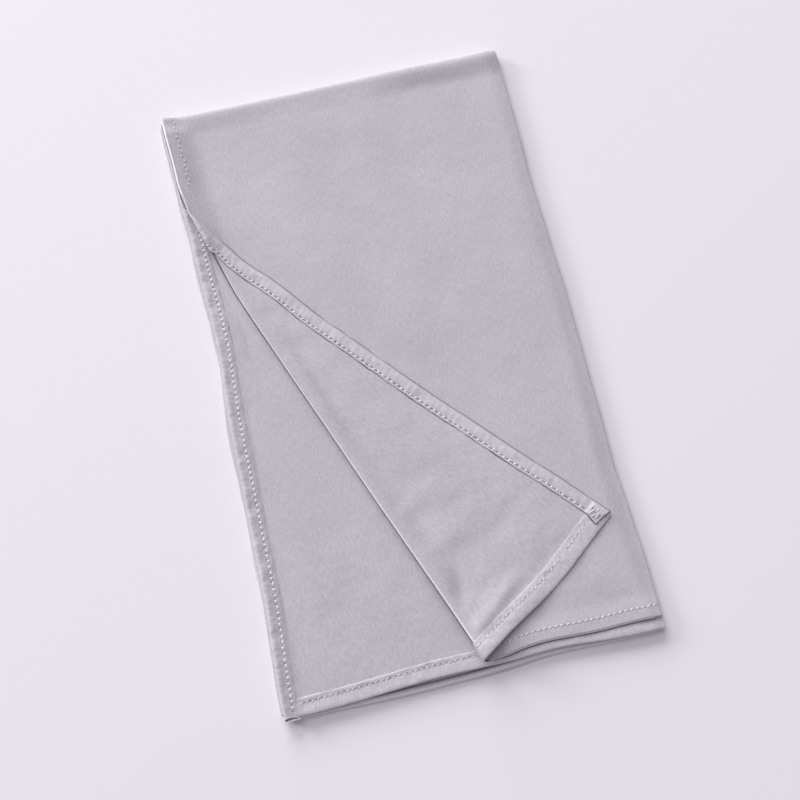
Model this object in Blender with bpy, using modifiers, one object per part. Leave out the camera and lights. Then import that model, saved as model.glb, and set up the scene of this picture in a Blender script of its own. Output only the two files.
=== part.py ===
"""A jersey hijab folded flat to eight layers, with one corner of its top leaf turned back.

The scarf is folded in half along its length, so its two long hems meet on the left and a soft
fold runs down the right, then in half twice across, so a fold closes the far end and its hemmed
ends lie at the near end. The top leaf shows its right side. Its near left corner is turned back
over it and shows the wrong side, with both hems, and the second leaf shows where it lay.

Lengths here are millimetres, turned to metres as the points are made. X runs across the bundle
with the open hems at -X, Y along it with the closing fold at +Y, and Z is up from the table.
"""

import math
from typing import NamedTuple

import bmesh
import bpy
from mathutils import Vector

MM = 0.001

# Driving sizes of the folded bundle
BUNDLE_WIDTH = 275.0
BUNDLE_LENGTH = 470.0
CLOTH = 1.0
SEAM_GAP = 0.3
CORE_HEIGHT = 6.5
LONG_HEM_WIDTH = 9.0
SHORT_HEM_WIDTH = 12.5
FRONT_LEAF_SHORTFALL = 5.5

# Places that follow from them
RIGHT = BUNDLE_WIDTH / 2.0
FAR = BUNDLE_LENGTH / 2.0
NEAR = -FAR
LAYER = CLOTH + SEAM_GAP
SECOND_MIDDLE = CORE_HEIGHT + SEAM_GAP + CLOTH / 2.0
FRONT_MIDDLE = SECOND_MIDDLE + LAYER
WRAP_RADIUS = FRONT_MIDDLE / 2.0 - CLOTH / 4.0
WRAP_CENTRE_Z = FRONT_MIDDLE - WRAP_RADIUS
WRAP_CENTRE_Y = FAR - WRAP_RADIUS - CLOTH / 2.0
WRAP_TURN = math.radians(170.0)
FRONT_NEAR = NEAR + FRONT_LEAF_SHORTFALL

# How the leaves rise over the hems beneath them, and at the soft fold on the right
HEM_RISE = 2.0 * LAYER
RISE_RUN = 12.0
FOLD_RISE = 0.5
FOLD_RISE_RUN = 16.0
HEM_START_BELOW_FAR = 18.0
SECOND_LEAF_BELOW_FAR = 6.0
FOLD_END_RUN = 7.0
NEAR_RISE_ROW = FRONT_NEAR + SHORT_HEM_WIDTH + 27.0

# The turned-back corner: where its crease runs, and how the cloth goes round it
CREASE_POINT_X = -99.0
CREASE_POINT_Y = 60.0
CREASE_SLOPE = 0.374
CREASE_SOFTNESS = 4.0
HINGE_FROM_EDGE = LONG_HEM_WIDTH + 3.8
TURN_STARTS_Y = 192.0
TURN_ENDS_Y = 114.0
FLAP_CLEARANCE = LAYER + 0.1
FLAP_SETTLES_OVER = 45.0


class EdgeRow(NamedTuple):
    """Inset of the open long edges from the bundle's side, at one place along it."""

    y: float
    inset: float


class CreaseRow(NamedTuple):
    """Bend radius of the crease and the slant of its axis from the bundle's length."""

    y: float
    radius: float
    slant: float


class Band(NamedTuple):
    """Stretch of a leaf's rows: where it ends, and its number of equal steps."""

    end: float
    steps: int


class Layer(NamedTuple):
    """One folded pair of hidden leaves and how far each side of it stands in."""

    bottom: float
    top: float
    left_upper: float
    left_lower: float
    right: float
    near: float
    near_bow: float


LEFT_EDGE = (
    EdgeRow(235.0, 0.0),
    EdgeRow(165.0, 3.0),
    EdgeRow(120.0, 6.0),
    EdgeRow(45.0, 8.0),
    EdgeRow(-30.0, 5.5),
    EdgeRow(-140.0, 4.0),
    EdgeRow(-235.0, 0.0),
)

CREASE = (
    CreaseRow(200.0, 1.0, 0.0),
    CreaseRow(130.0, 1.0, 14.0),
    CreaseRow(60.0, 1.5, 20.5),
    CreaseRow(-90.0, 2.2, 19.8),
    CreaseRow(-235.0, 4.2, 17.2),
)

HIDDEN_LAYERS = (
    Layer(0.0, 2.15, 1.6, 0.6, 0.6, -1.0, 5.5),
    Layer(2.15, 4.3, 0.2, 1.0, 1.4, -1.0, 5.5),
    Layer(4.3, 6.5, 1.0, 0.4, 1.9, 1.2, 0.0),
)
# The origin is under the middle of the bundle's box, whose near side is the bowed fold
MIDDLE_Y = (FAR + NEAR + HIDDEN_LAYERS[0].near - HIDDEN_LAYERS[0].near_bow) / 2.0

NOSE_PINCH = 1.0
HEM_EDGE_PINCH = 0.45
CORE_CORNER = 5.0
WRAP_STEP = 1.9

COTTON_JERSEY = (0.50, 0.485, 0.545, 1.0)
WRONG_SIDE = (0.48, 0.465, 0.52, 1.0)
HEM_JERSEY = (0.53, 0.515, 0.57, 1.0)


def ease(fraction):
    """Smooth step from 0 to 1."""
    t = min(1.0, max(0.0, fraction))
    return t * t * (3.0 - 2.0 * t)


def between(rows, column, y):
    """Value of a column at y, eased between the rows of a table that runs down in y."""
    if y >= rows[0].y:
        return getattr(rows[0], column)
    for upper, lower in zip(rows, rows[1:]):
        if y >= lower.y:
            share = ease((upper.y - y) / (upper.y - lower.y))
            first = getattr(upper, column)
            return first + (getattr(lower, column) - first) * share
    return getattr(rows[-1], column)


def stepped(start, bands):
    """Places reached from a start through equal steps in each band."""
    found = []
    for band in bands:
        found.extend(start + (band.end - start) * step / band.steps for step in range(1, band.steps + 1))
        start = band.end
    return found


def left_edge(y):
    """X of the leaves' open long edge."""
    return -RIGHT + between(LEFT_EDGE, "inset", y)


def crease_x(y):
    """X where the front leaf starts to turn back: beside the hem at first, then on a slant."""
    hinge = left_edge(y) + HINGE_FROM_EDGE
    slant = CREASE_POINT_X + (CREASE_POINT_Y - y) * CREASE_SLOPE
    both = (hinge - slant) / CREASE_SOFTNESS
    return slant + CREASE_SOFTNESS * math.log1p(math.exp(min(both, 60.0)))


def crease_turn(y):
    """Angle through which the cloth turns at the crease, from none to flat on itself."""
    return math.pi * ease((TURN_STARTS_Y - y) / (TURN_STARTS_Y - TURN_ENDS_Y))


def front_height(x, y):
    """Height of the front leaf's middle where it lies flat."""
    past_hem = x - left_edge(y) - LONG_HEM_WIDTH - 1.0
    far_fade = ease((FAR - SECOND_LEAF_BELOW_FAR - y) / (HEM_START_BELOW_FAR - SECOND_LEAF_BELOW_FAR))
    left_rise = (1.0 - ease(past_hem / RISE_RUN)) * far_fade
    above_hem = y - FRONT_NEAR - SHORT_HEM_WIDTH - 2.0
    near_rise = 1.0 - ease(above_hem / RISE_RUN)
    fold_rise = FOLD_RISE * (1.0 - ease((RIGHT - x) / FOLD_RISE_RUN)) * far_fade
    return FRONT_MIDDLE + HEM_RISE * max(left_rise, near_rise) + fold_rise


def fold_radius(y):
    """Radius of the soft fold on the right, which joins the front leaf to the second."""
    return (front_height(RIGHT, y) - SECOND_MIDDLE) / 2.0


def flat_end(y):
    """X at which the front leaf stops being flat and rounds over the right side."""
    return RIGHT - CLOTH / 2.0 - fold_radius(y)


def fold_over_right(y, share):
    """Point on the right fold: share 0 at the leaf, 1 under it at the second leaf."""
    radius = fold_radius(y)
    turn = math.pi * (0.5 + 0.5 * ease((FAR - SECOND_LEAF_BELOW_FAR - y) / FOLD_END_RUN))
    angle = turn * share
    height = front_height(RIGHT, y) - radius * (1.0 - math.cos(angle))
    return Vector((flat_end(y) + radius * math.sin(angle), y, height))


def turned_back(y, beyond):
    """Point of the front leaf that lies beyond the crease, by its distance along its row."""
    slant = math.radians(between(CREASE, "slant", y))
    axis = Vector((math.sin(slant), -math.cos(slant), 0.0))
    outward = Vector((-math.cos(slant), -math.sin(slant), 0.0))
    along = -beyond * math.sin(slant)
    across = beyond * math.cos(slant)
    radius = between(CREASE, "radius", y)
    arc = math.pi * radius
    turn = max(crease_turn(y), 0.001)
    bent = min(across, arc)
    bend_radius = arc / turn
    reach = bend_radius * math.sin(bent / bend_radius)
    lift = bend_radius * (1.0 - math.cos(bent / bend_radius))
    straight = across - bent
    reach += straight * math.cos(turn)
    lift += straight * math.sin(turn)
    settled = ease(straight / FLAP_SETTLES_OVER) * ease((turn - 0.8 * math.pi) / (0.2 * math.pi))
    lift += (FLAP_CLEARANCE - lift) * settled
    spot = Vector((crease_x(y), y, 0.0)) + axis * along + outward * reach
    spot.z = front_height(spot.x, spot.y) + lift
    return spot


def round_far_end(spot, turn):
    """Carry a point of the far edge round the closing fold by an angle."""
    radius = WRAP_RADIUS + spot.z - FRONT_MIDDLE
    y = WRAP_CENTRE_Y + radius * math.sin(turn)
    return Vector((spot.x, y, WRAP_CENTRE_Z + radius * math.cos(turn)))


class FrontLeaf:
    """The front leaf as rows across it, each with stations from the right fold to the hem."""

    wrap_rows = 7
    row_bands = (
        Band(FAR - 12.0, 1),
        Band(TURN_STARTS_Y, 3),
        Band(TURN_ENDS_Y - 10.0, 11),
        Band(NEAR_RISE_ROW, 17),
        Band(FRONT_NEAR + SHORT_HEM_WIDTH, 3),
        Band(FRONT_NEAR, 2),
    )
    fold_steps = 6
    flat_steps = 6
    turn_steps = 8
    flap_steps = 5
    hem_steps = 2

    def rows(self):
        """Places along the leaf: a turn round the far end and a y for each row."""
        found = []
        for step in range(self.wrap_rows, 0, -1):
            found.append((WRAP_TURN * step / self.wrap_rows, WRAP_CENTRE_Y))
        found.append((0.0, WRAP_CENTRE_Y))
        found.extend((0.0, y) for y in stepped(WRAP_CENTRE_Y, self.row_bands))
        return found

    def station(self, place, column):
        """Middle of the cloth at one row and column."""
        turn, y = place
        if column < self.fold_steps:
            spot = fold_over_right(y, 1.0 - column / self.fold_steps)
        else:
            spot = self.past_fold(y, column - self.fold_steps)
        return round_far_end(spot, turn) if turn > 0.0 else spot

    def past_fold(self, y, column):
        """Station on the flat, at the crease, on the flap or on the hem."""
        start = crease_x(y)
        if column < self.flat_steps:
            x = flat_end(y) + (start - flat_end(y)) * column / self.flat_steps
            return Vector((x, y, front_height(x, y)))
        column -= self.flat_steps
        slant = math.radians(between(CREASE, "slant", y))
        arc = math.pi * between(CREASE, "radius", y) / math.cos(slant)
        whole = start - left_edge(y)
        hem = whole - LONG_HEM_WIDTH
        if column < self.turn_steps:
            return turned_back(y, arc * column / self.turn_steps)
        column -= self.turn_steps
        if column < self.flap_steps:
            return turned_back(y, arc + (hem - arc) * column / self.flap_steps)
        column -= self.flap_steps
        return turned_back(y, hem + LONG_HEM_WIDTH * column / self.hem_steps)

    def columns(self):
        """Number of steps across the leaf."""
        return self.fold_steps + self.flat_steps + self.turn_steps + self.flap_steps + self.hem_steps

    def middle(self):
        """Middle of the cloth as rows of points."""
        return [[self.station(place, column) for column in range(self.columns() + 1)] for place in self.rows()]

    def wrong_side(self, middle):
        """Points of the hems' middle, moved out from the leaf's wrong side."""
        moved = []
        for row, points in enumerate(middle):
            above = middle[max(row - 1, 0)]
            below = middle[min(row + 1, len(middle) - 1)]
            moved.append([])
            for column, point in enumerate(points):
                before = points[max(column - 1, 0)]
                after = points[min(column + 1, len(points) - 1)]
                normal = (after - before).cross(below[column] - above[column]).normalized()
                moved[row].append(point - normal * LAYER)
        return moved

    def long_hem(self, moved):
        """Rows of the long hem, from where it starts below the far end."""
        first = next(row for row, (turn, y) in enumerate(self.rows()) if turn == 0.0 and y < FAR - HEM_START_BELOW_FAR)
        return [points[-self.hem_steps - 1:] for points in moved[first:]]

    def short_hem(self, moved):
        """Rows of the short hem, from the right fold to the long hem."""
        start = self.fold_steps
        end = self.columns() - self.hem_steps
        rows = [points[start:end + 1] for points in moved[-3:]]
        for points in rows:
            points[-1] = points[-1] + (points[-2] - points[-1]).normalized() * SEAM_GAP
        return rows


class SecondLeaf:
    """The second leaf, flat on the hidden layers, its hems on its upper, wrong side."""

    row_bands = (
        Band(FAR - HEM_START_BELOW_FAR, 1),
        Band(NEAR_RISE_ROW, 16),
        Band(FRONT_NEAR + SHORT_HEM_WIDTH, 3),
        Band(NEAR + SHORT_HEM_WIDTH, 1),
        Band(NEAR, 2),
    )
    flat_steps = 6
    hem_steps = 2

    def rows(self):
        """Places along the leaf."""
        start = FAR - SECOND_LEAF_BELOW_FAR - 1.0
        return [start] + stepped(start, self.row_bands)

    def points(self, height):
        """The leaf's points at a height."""
        found = []
        for y in self.rows():
            right = RIGHT - CLOTH / 2.0 - fold_radius(max(y, FRONT_NEAR)) - SEAM_GAP
            hem = left_edge(y) + LONG_HEM_WIDTH
            row = [right + (hem - right) * step / self.flat_steps for step in range(self.flat_steps)]
            row.extend(hem - LONG_HEM_WIDTH * step / self.hem_steps for step in range(self.hem_steps + 1))
            found.append([Vector((x, y, height)) for x in row])
        return found

    def middle(self):
        """Middle of the cloth."""
        return self.points(SECOND_MIDDLE)

    def long_hem(self):
        """Rows of the long hem, one cloth up."""
        return [row[-self.hem_steps - 1:] for row in self.points(SECOND_MIDDLE + LAYER)[1:]]

    def short_hem(self):
        """Rows of the short hem, between the right fold and the long hem."""
        rows = [row[:self.flat_steps + 1] for row in self.points(SECOND_MIDDLE + LAYER)[-3:]]
        for row in rows:
            row[0].x = RIGHT - 8.0
            row[-1].x += SEAM_GAP
        return rows


def rounded(position, pinch):
    """Inset of a rounded edge of cloth: none at its middle, the pinch at its top and bottom."""
    across = 2.0 * position - 1.0
    return pinch * (1.0 - math.sqrt(max(0.0, 1.0 - across * across)))


def core_sides(layer, height):
    """Insets of the left, right and near sides at a height, and the bow of the near side."""
    share = (height - layer.bottom) / (layer.top - layer.bottom)
    upper = share > 0.5
    left = layer.left_upper if upper else layer.left_lower
    left += rounded((share * 2.0) % 1.0 if share < 1.0 else 1.0, HEM_EDGE_PINCH)
    right = layer.right + rounded(share, NOSE_PINCH)
    near = layer.near + rounded(share, NOSE_PINCH)
    return left, right, near, layer.near_bow


def core_far(height):
    """Y of the hidden layers' far side: an inner round fold, stepped back below the wrap's end."""
    inner = WRAP_RADIUS - CLOTH / 2.0 - SEAM_GAP
    drop = height - WRAP_CENTRE_Z
    if abs(drop) < inner:
        return WRAP_CENTRE_Y + math.sqrt(inner * inner - drop * drop)
    return WRAP_CENTRE_Y - WRAP_STEP


def core_ring(layer, height):
    """Closed outline of the hidden layers at a height, anticlockwise from the near left corner."""
    left, right, near, bow = core_sides(layer, height)
    far = core_far(height)
    side_steps = 14
    end_steps = 10
    corner_steps = 3
    near_y = NEAR + near
    right_x = RIGHT - right
    low = near_y + CORE_CORNER
    high = far - CORE_CORNER

    def left_x(y):
        return left_edge(y) + left

    ring = []
    near_start = left_x(low) + CORE_CORNER
    near_end = right_x - CORE_CORNER
    for step in range(end_steps + 1):
        share = step / end_steps
        ring.append((near_start + (near_end - near_start) * share, near_y - bow * math.sin(math.pi * share) ** 0.8))
    ring.extend(corner_points(near_end, low, -90.0, corner_steps))
    ring.extend((right_x, low + (high - low) * step / side_steps) for step in range(side_steps + 1))
    ring.extend(corner_points(near_end, high, 0.0, corner_steps))
    far_start = left_x(high) + CORE_CORNER
    ring.extend((near_end + (far_start - near_end) * step / end_steps, far) for step in range(end_steps + 1))
    ring.extend(corner_points(far_start, high, 90.0, corner_steps))
    for step in range(side_steps + 1):
        y = high + (low - high) * step / side_steps
        ring.append((left_x(y), y))
    ring.extend(corner_points(near_start, low, 180.0, corner_steps))
    return [Vector((x, y, height)) for x, y in ring]


def corner_points(x, y, start, steps):
    """Points inside a rounded corner, between its two ends."""
    found = []
    for step in range(1, steps):
        angle = math.radians(start + 90.0 * step / steps)
        found.append((x + CORE_CORNER * math.cos(angle), y + CORE_CORNER * math.sin(angle)))
    return found


def hidden_layers_mesh():
    """Rings of the hidden layers stacked into one closed solid, flat below and above."""
    shell = bmesh.new()
    rings = []
    steps = 8
    for number, layer in enumerate(HIDDEN_LAYERS):
        for step in range(0 if number == 0 else 1, steps + 1):
            height = layer.bottom + (layer.top - layer.bottom) * step / steps
            ring = [shell.verts.new(placed(point)) for point in core_ring(layer, height)]
            rings.append(ring)
    shell.faces.new(list(reversed(rings[0])))
    for lower, upper in zip(rings, rings[1:]):
        for place in range(len(lower)):
            following = (place + 1) % len(lower)
            shell.faces.new((lower[place], lower[following], upper[following], upper[place]))
    shell.faces.new(rings[-1])
    mesh = bpy.data.meshes.new("hidden_layers")
    shell.to_mesh(mesh)
    shell.free()
    return mesh


def placed(point):
    """Point in metres, from the origin under the middle of the bundle."""
    return Vector((point.x, point.y - MIDDLE_Y, point.z)) * MM


def sheet_mesh(name, rows):
    """Grid mapped on rows of points, as an open surface with its right side up."""
    down = len(rows) - 1
    across = len(rows[0]) - 1
    sheet = bmesh.new()
    bmesh.ops.create_grid(sheet, x_segments=across, y_segments=down, size=0.5)
    sheet.verts.ensure_lookup_table()
    for vert in sheet.verts:
        column = round((vert.co.x + 0.5) * across)
        row = round((vert.co.y + 0.5) * down)
        vert.co = placed(rows[down - row][across - column])
    mesh = bpy.data.meshes.new(name)
    sheet.to_mesh(mesh)
    sheet.free()
    return mesh


def jersey(name, colour):
    """Cotton jersey: matt, with a little soft sheen."""
    material = bpy.data.materials.new(name)
    material.use_nodes = True
    shader = material.node_tree.nodes["Principled BSDF"]
    shader.inputs["Base Color"].default_value = colour
    shader.inputs["Roughness"].default_value = 0.85
    shader.inputs["Metallic"].default_value = 0.0
    shader.inputs["Sheen Weight"].default_value = 0.3
    return material


def add_piece(collection, name, mesh, colour):
    """Object of its own name and material in the scarf's collection."""
    piece = bpy.data.objects.new(name, mesh)
    mesh.materials.append(jersey(name + "_jersey", colour))
    mesh.shade_smooth()
    mesh.set_sharp_from_angle(angle=math.radians(50.0))
    collection.objects.link(piece)
    return piece


def add_cloth(collection, name, rows, colour):
    """Sheet of cloth with its thickness half on each side of the rows."""
    piece = add_piece(collection, name, sheet_mesh(name, rows), colour)
    wall = piece.modifiers.new("Wall", "SOLIDIFY")
    wall.thickness = CLOTH * MM
    wall.offset = 0.0
    return piece


def main():
    """Build the folded scarf."""
    for leftover in list(bpy.data.objects):
        bpy.data.objects.remove(leftover, do_unlink=True)
    scarf = bpy.data.collections.new("folded_jersey_hijab")
    bpy.context.scene.collection.children.link(scarf)

    front = FrontLeaf()
    front_middle = front.middle()
    front_hems = front.wrong_side(front_middle)
    second = SecondLeaf()

    add_piece(scarf, "hidden_layers", hidden_layers_mesh(), COTTON_JERSEY)
    add_cloth(scarf, "second_leaf", second.middle(), WRONG_SIDE)
    add_cloth(scarf, "second_long_hem", second.long_hem(), HEM_JERSEY)
    add_cloth(scarf, "second_short_hem", second.short_hem(), HEM_JERSEY)
    add_cloth(scarf, "front_leaf", front_middle, COTTON_JERSEY)
    add_cloth(scarf, "front_long_hem", front.long_hem(front_hems), HEM_JERSEY)
    add_cloth(scarf, "front_short_hem", front.short_hem(front_hems), HEM_JERSEY)


main()
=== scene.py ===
"""Looks of a jersey hijab, folded flat with the near corner of its top leaf turned back.

The scarf lies folded to eight leaves. A soft fold runs down its right side and another closes its
far end; the stitched long hems lie together on the left and the end hems at the near end. The
top leaf shows its right side, and its turned-back corner the wrong side and both hems.

Shapes are worked out in millimetres on the bundle, with X across it, Y along it and Z up, and are
placed in the frame, in metres, as each mesh is made.
"""

from __future__ import annotations

import logging
import math
from dataclasses import dataclass, field
from enum import Enum
from typing import Callable, ClassVar, NamedTuple

import bmesh
import bpy
import numpy as np
from mathutils import Matrix, Vector

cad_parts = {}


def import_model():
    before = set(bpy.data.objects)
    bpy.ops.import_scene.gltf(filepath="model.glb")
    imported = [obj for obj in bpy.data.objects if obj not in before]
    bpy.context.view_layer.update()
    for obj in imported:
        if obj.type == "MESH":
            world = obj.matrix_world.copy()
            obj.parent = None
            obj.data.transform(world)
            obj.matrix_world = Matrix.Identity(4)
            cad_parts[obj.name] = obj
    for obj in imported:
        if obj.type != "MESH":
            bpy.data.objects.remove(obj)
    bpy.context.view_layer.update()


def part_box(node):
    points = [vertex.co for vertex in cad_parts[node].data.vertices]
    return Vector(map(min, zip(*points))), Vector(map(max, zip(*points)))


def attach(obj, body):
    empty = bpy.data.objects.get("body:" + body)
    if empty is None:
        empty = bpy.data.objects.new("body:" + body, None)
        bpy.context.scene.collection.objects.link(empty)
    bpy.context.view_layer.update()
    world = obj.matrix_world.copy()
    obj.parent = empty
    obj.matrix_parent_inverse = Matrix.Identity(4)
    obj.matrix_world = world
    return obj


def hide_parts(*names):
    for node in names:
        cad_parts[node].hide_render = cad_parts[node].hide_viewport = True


LOG = logging.getLogger("folded_jersey_hijab")
MM = 0.001
Grid = np.ndarray
EdgeLine = Callable[[Grid], tuple[Grid, Grid, Grid, Grid]]


def linear(code: str) -> tuple[float, float, float, float]:
    """Linear colour of an sRGB hex value.

    Args:
        code: six hex digits, red first.

    Returns:
        Red, green, blue and alpha.
    """
    parts = [int(code[place:place + 2], 16) / 255.0 for place in (0, 2, 4)]
    turned = [part / 12.92 if part <= 0.04045 else ((part + 0.055) / 1.055) ** 2.4 for part in parts]
    return (*turned, 1.0)


def ease(fraction: Grid) -> Grid:
    """Smooth step from 0 to 1."""
    share = np.clip(fraction, 0.0, 1.0)
    return share * share * (3.0 - 2.0 * share)


class Ramp(NamedTuple):
    """A smooth step from 0 to 1: where it starts and over how much it rises."""

    start: float
    over: float

    def at(self, place: Grid) -> Grid:
        """Share of the step at each place."""
        return ease((place - self.start) / self.over)


def along(rows: tuple, column: str, y: Grid) -> Grid:
    """Value of a table's column at each y, eased between its rows.

    Args:
        rows: named rows whose y runs downwards.
        column: name of the column that is read.
        y: places along the bundle.

    Returns:
        The column's value at each place.
    """
    places = np.array([-row.y for row in rows])
    values = np.array([getattr(row, column) for row in rows])
    after = np.clip(np.searchsorted(places, -y), 1, len(rows) - 1)
    share = ease((-y - places[after - 1]) / (places[after] - places[after - 1]))
    return values[after - 1] + (values[after] - values[after - 1]) * share


class Waves:
    """Smooth uneven relief: a sum of plane waves in many directions, the same at each run."""

    def __init__(self, seed: int, shortest: float, longest: float, count: int = 18) -> None:
        """Draw the waves.

        Args:
            seed: number that fixes the draw.
            shortest: shortest wavelength, in millimetres.
            longest: longest wavelength, in millimetres.
            count: number of waves.
        """
        draw = np.random.default_rng(seed)
        length = shortest * (longest / shortest) ** draw.random(count)
        heading = draw.random(count) * 2.0 * math.pi
        self.across = np.cos(heading) * 2.0 * math.pi / length
        self.lengthwise = np.sin(heading) * 2.0 * math.pi / length
        self.phase = draw.random(count) * 2.0 * math.pi
        self.weight = np.sqrt(length / length.max())
        self.weight = self.weight / np.sqrt((self.weight ** 2).sum() / 2.0)

    def at(self, x: Grid | float, y: Grid | float) -> Grid:
        """Relief at each place.

        Args:
            x: places across, in millimetres.
            y: places lengthwise.

        Returns:
            Its height, about -2 to 2.
        """
        total = np.zeros(np.broadcast(x, y).shape)
        for across, lengthwise, phase, weight in zip(self.across, self.lengthwise, self.phase, self.weight):
            total = total + weight * np.sin(across * x + lengthwise * y + phase)
        return total


class EdgeRow(NamedTuple):
    """Inset of the open long edges from the bundle's side."""

    y: float
    inset: float


class RiseRow(NamedTuple):
    """How much the stacked long hems lift the leaves over them, and how far in that reaches."""

    y: float
    rise: float
    run: float


class SideRow(NamedTuple):
    """How far the soft fold on the right swells out, and where and how much the leaves sink to it."""

    y: float
    swell: float
    slope: float
    droop: float


class CreaseRow(NamedTuple):
    """Bend radius of the turned-back crease, the slant of its axis and the width of its foot in painted
    shade.
    """

    y: float
    radius: float
    slant: float
    foot: float


class Bump(NamedTuple):
    """One rounded swelling of an edge: its middle, half width and height."""

    middle: float
    half_width: float
    height: float


def bumps_at(bumps: tuple[Bump, ...], x: Grid) -> Grid:
    """Sum of an edge's swellings at places along it.

    Args:
        bumps: the swellings.
        x: places along the edge.

    Returns:
        How far it swells out at each place, in millimetres.
    """
    total = np.zeros(np.shape(x))
    for bump in bumps:
        total = total + bump.height * np.exp(-(((x - bump.middle) / bump.half_width) ** 2))
    return total


class Stroke(NamedTuple):
    """One soft ridge, or trough where its height is negative, along a straight line."""

    from_x: float
    from_y: float
    to_x: float
    to_y: float
    width: float
    height: float


STROKE_FADES = Ramp(-0.25, 0.5)


def strokes_at(strokes: tuple[Stroke, ...], x: Grid, y: Grid) -> Grid:
    """Height of soft ridges and troughs at each place.

    Args:
        strokes: the ridges and troughs.
        x: places across the bundle.
        y: places along it.

    Returns:
        Height in millimetres.
    """
    total = np.zeros(np.broadcast(x, y).shape)
    for stroke in strokes:
        run_x = stroke.to_x - stroke.from_x
        run_y = stroke.to_y - stroke.from_y
        length = math.hypot(run_x, run_y)
        share = ((x - stroke.from_x) * run_x + (y - stroke.from_y) * run_y) / length ** 2
        off = ((x - stroke.from_x) * run_y - (y - stroke.from_y) * run_x) / length
        ends = STROKE_FADES.at(share) * STROKE_FADES.at(1.0 - share)
        total = total + stroke.height * ends * np.exp(-((off / stroke.width) ** 2))
    return total


@dataclass
class Bundle:
    """The folded bundle: where its sides are and how high its leaves lie, in millimetres."""

    right: float = 137.5
    far: float = 235.0
    middle_y: float = 3.25
    cloth: float = 0.7
    core_height: float = 6.6
    second_middle: float = 7.2
    front_middle: float = 8.5
    front_shortfall: float = 5.5
    second_overhang: float = 1.4
    long_hem: float = 9.7
    short_hem: float = 12.2
    level_over_edge: float = 1.0
    side_swells: Ramp = Ramp(20.0, 110.0)
    far_swells: Ramp = Ramp(205.0, 26.0)
    edge_rows: tuple[EdgeRow, ...] = (
        EdgeRow(235.0, 0.0),
        EdgeRow(165.0, 2.6),
        EdgeRow(120.0, 5.2),
        EdgeRow(45.0, 8.0),
        EdgeRow(-30.0, 5.0),
        EdgeRow(-140.0, 4.0),
        EdgeRow(-235.0, 0.0),
    )
    rise_rows: tuple[RiseRow, ...] = (
        RiseRow(235.0, 2.9, 15.0),
        RiseRow(150.0, 3.0, 17.0),
        RiseRow(60.0, 2.4, 25.0),
        RiseRow(10.0, 2.3, 22.0),
        RiseRow(-90.0, 2.5, 16.0),
        RiseRow(-235.0, 2.7, 15.0),
    )
    side_rows: tuple[SideRow, ...] = (
        SideRow(235.0, 0.0, 9.0, 0.15),
        SideRow(165.0, 0.0, 10.0, 0.16),
        SideRow(125.0, -1.2, 11.0, 0.17),
        SideRow(80.0, 0.0, 11.0, 0.18),
        SideRow(30.0, 1.2, 12.0, 0.20),
        SideRow(-60.0, 0.8, 14.0, 0.26),
        SideRow(-110.0, 0.3, 16.0, 0.32),
        SideRow(-150.0, 2.2, 17.0, 0.32),
        SideRow(-185.0, 3.5, 15.0, 0.26),
        SideRow(-240.0, 3.3, 9.0, 0.12),
    )
    far_bumps: tuple[Bump, ...] = (
        Bump(-140.0, 20.0, 1.2),
        Bump(60.0, 110.0, 2.2),
        Bump(140.0, 24.0, 1.6),
    )

    @classmethod
    def from_frame(cls) -> Bundle:
        """Bundle whose sides are the CAD solids'.

        Returns:
            The bundle, with its other sizes as they are given above.
        """
        front_low, front_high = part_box("front_leaf")
        second_low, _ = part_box("second_leaf")
        core_low, core_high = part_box("hidden_layers")
        far = (front_high.y - second_low.y) / 2.0 / MM
        return cls(
            right=(front_high.x - front_low.x) / 2.0 / MM,
            far=far,
            middle_y=(front_high.y + second_low.y) / 2.0 / MM,
            core_height=(core_high.z - core_low.z) / MM,
        )

    @property
    def near(self) -> float:
        """Y of the second leaf's near hem, at its ends."""
        return -self.far - self.second_overhang

    @property
    def front_near(self) -> float:
        """Y of the front leaf's near hem."""
        return -self.far + self.front_shortfall

    @property
    def wrap_radius(self) -> float:
        """Radius of the closing fold, to the middle of the cloth."""
        return self.front_middle / 2.0 - self.cloth / 4.0

    @property
    def wrap_y(self) -> float:
        """Y of the closing fold's centre line."""
        return self.far - self.wrap_radius - self.cloth / 2.0

    def left_edge(self, y: Grid) -> Grid:
        """X of the open long edges."""
        return -self.right + along(self.edge_rows, "inset", y)

    def settled(self, x: Grid, y: Grid, z: Grid) -> Grid:
        """Height once the stack has swelled over its hems and sunk at its soft right side.

        Args:
            x: places across the bundle.
            y: places along it.
            z: heights of the leaves as evenly stacked.

        Returns:
            Heights of the leaves as they lie.
        """
        reach = (x - self.left_edge(y) - self.level_over_edge) / along(self.rise_rows, "run", y)
        swell = along(self.rise_rows, "rise", y) / self.front_middle * (1.0 - ease(reach))
        droop = along(self.side_rows, "droop", y)
        sink = droop * (1.0 - ease((self.right - x) / along(self.side_rows, "slope", y)))
        return z * (1.0 + swell - sink)

    def place(self, points: Grid) -> Grid:
        """Points of the bundle in the frame, in metres.

        Args:
            points: array whose last axis is x, y and z in millimetres.

        Returns:
            The same array in metres, with the bundle's swells and sinks.
        """
        moved = points.copy()
        x, y = points[..., 0], points[..., 1]
        moved[..., 2] = self.settled(x, y, points[..., 2])
        moved[..., 0] += along(self.side_rows, "swell", y) * self.side_swells.at(x)
        moved[..., 1] += self.middle_y + bumps_at(self.far_bumps, x) * self.far_swells.at(y)
        return moved * MM


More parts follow.
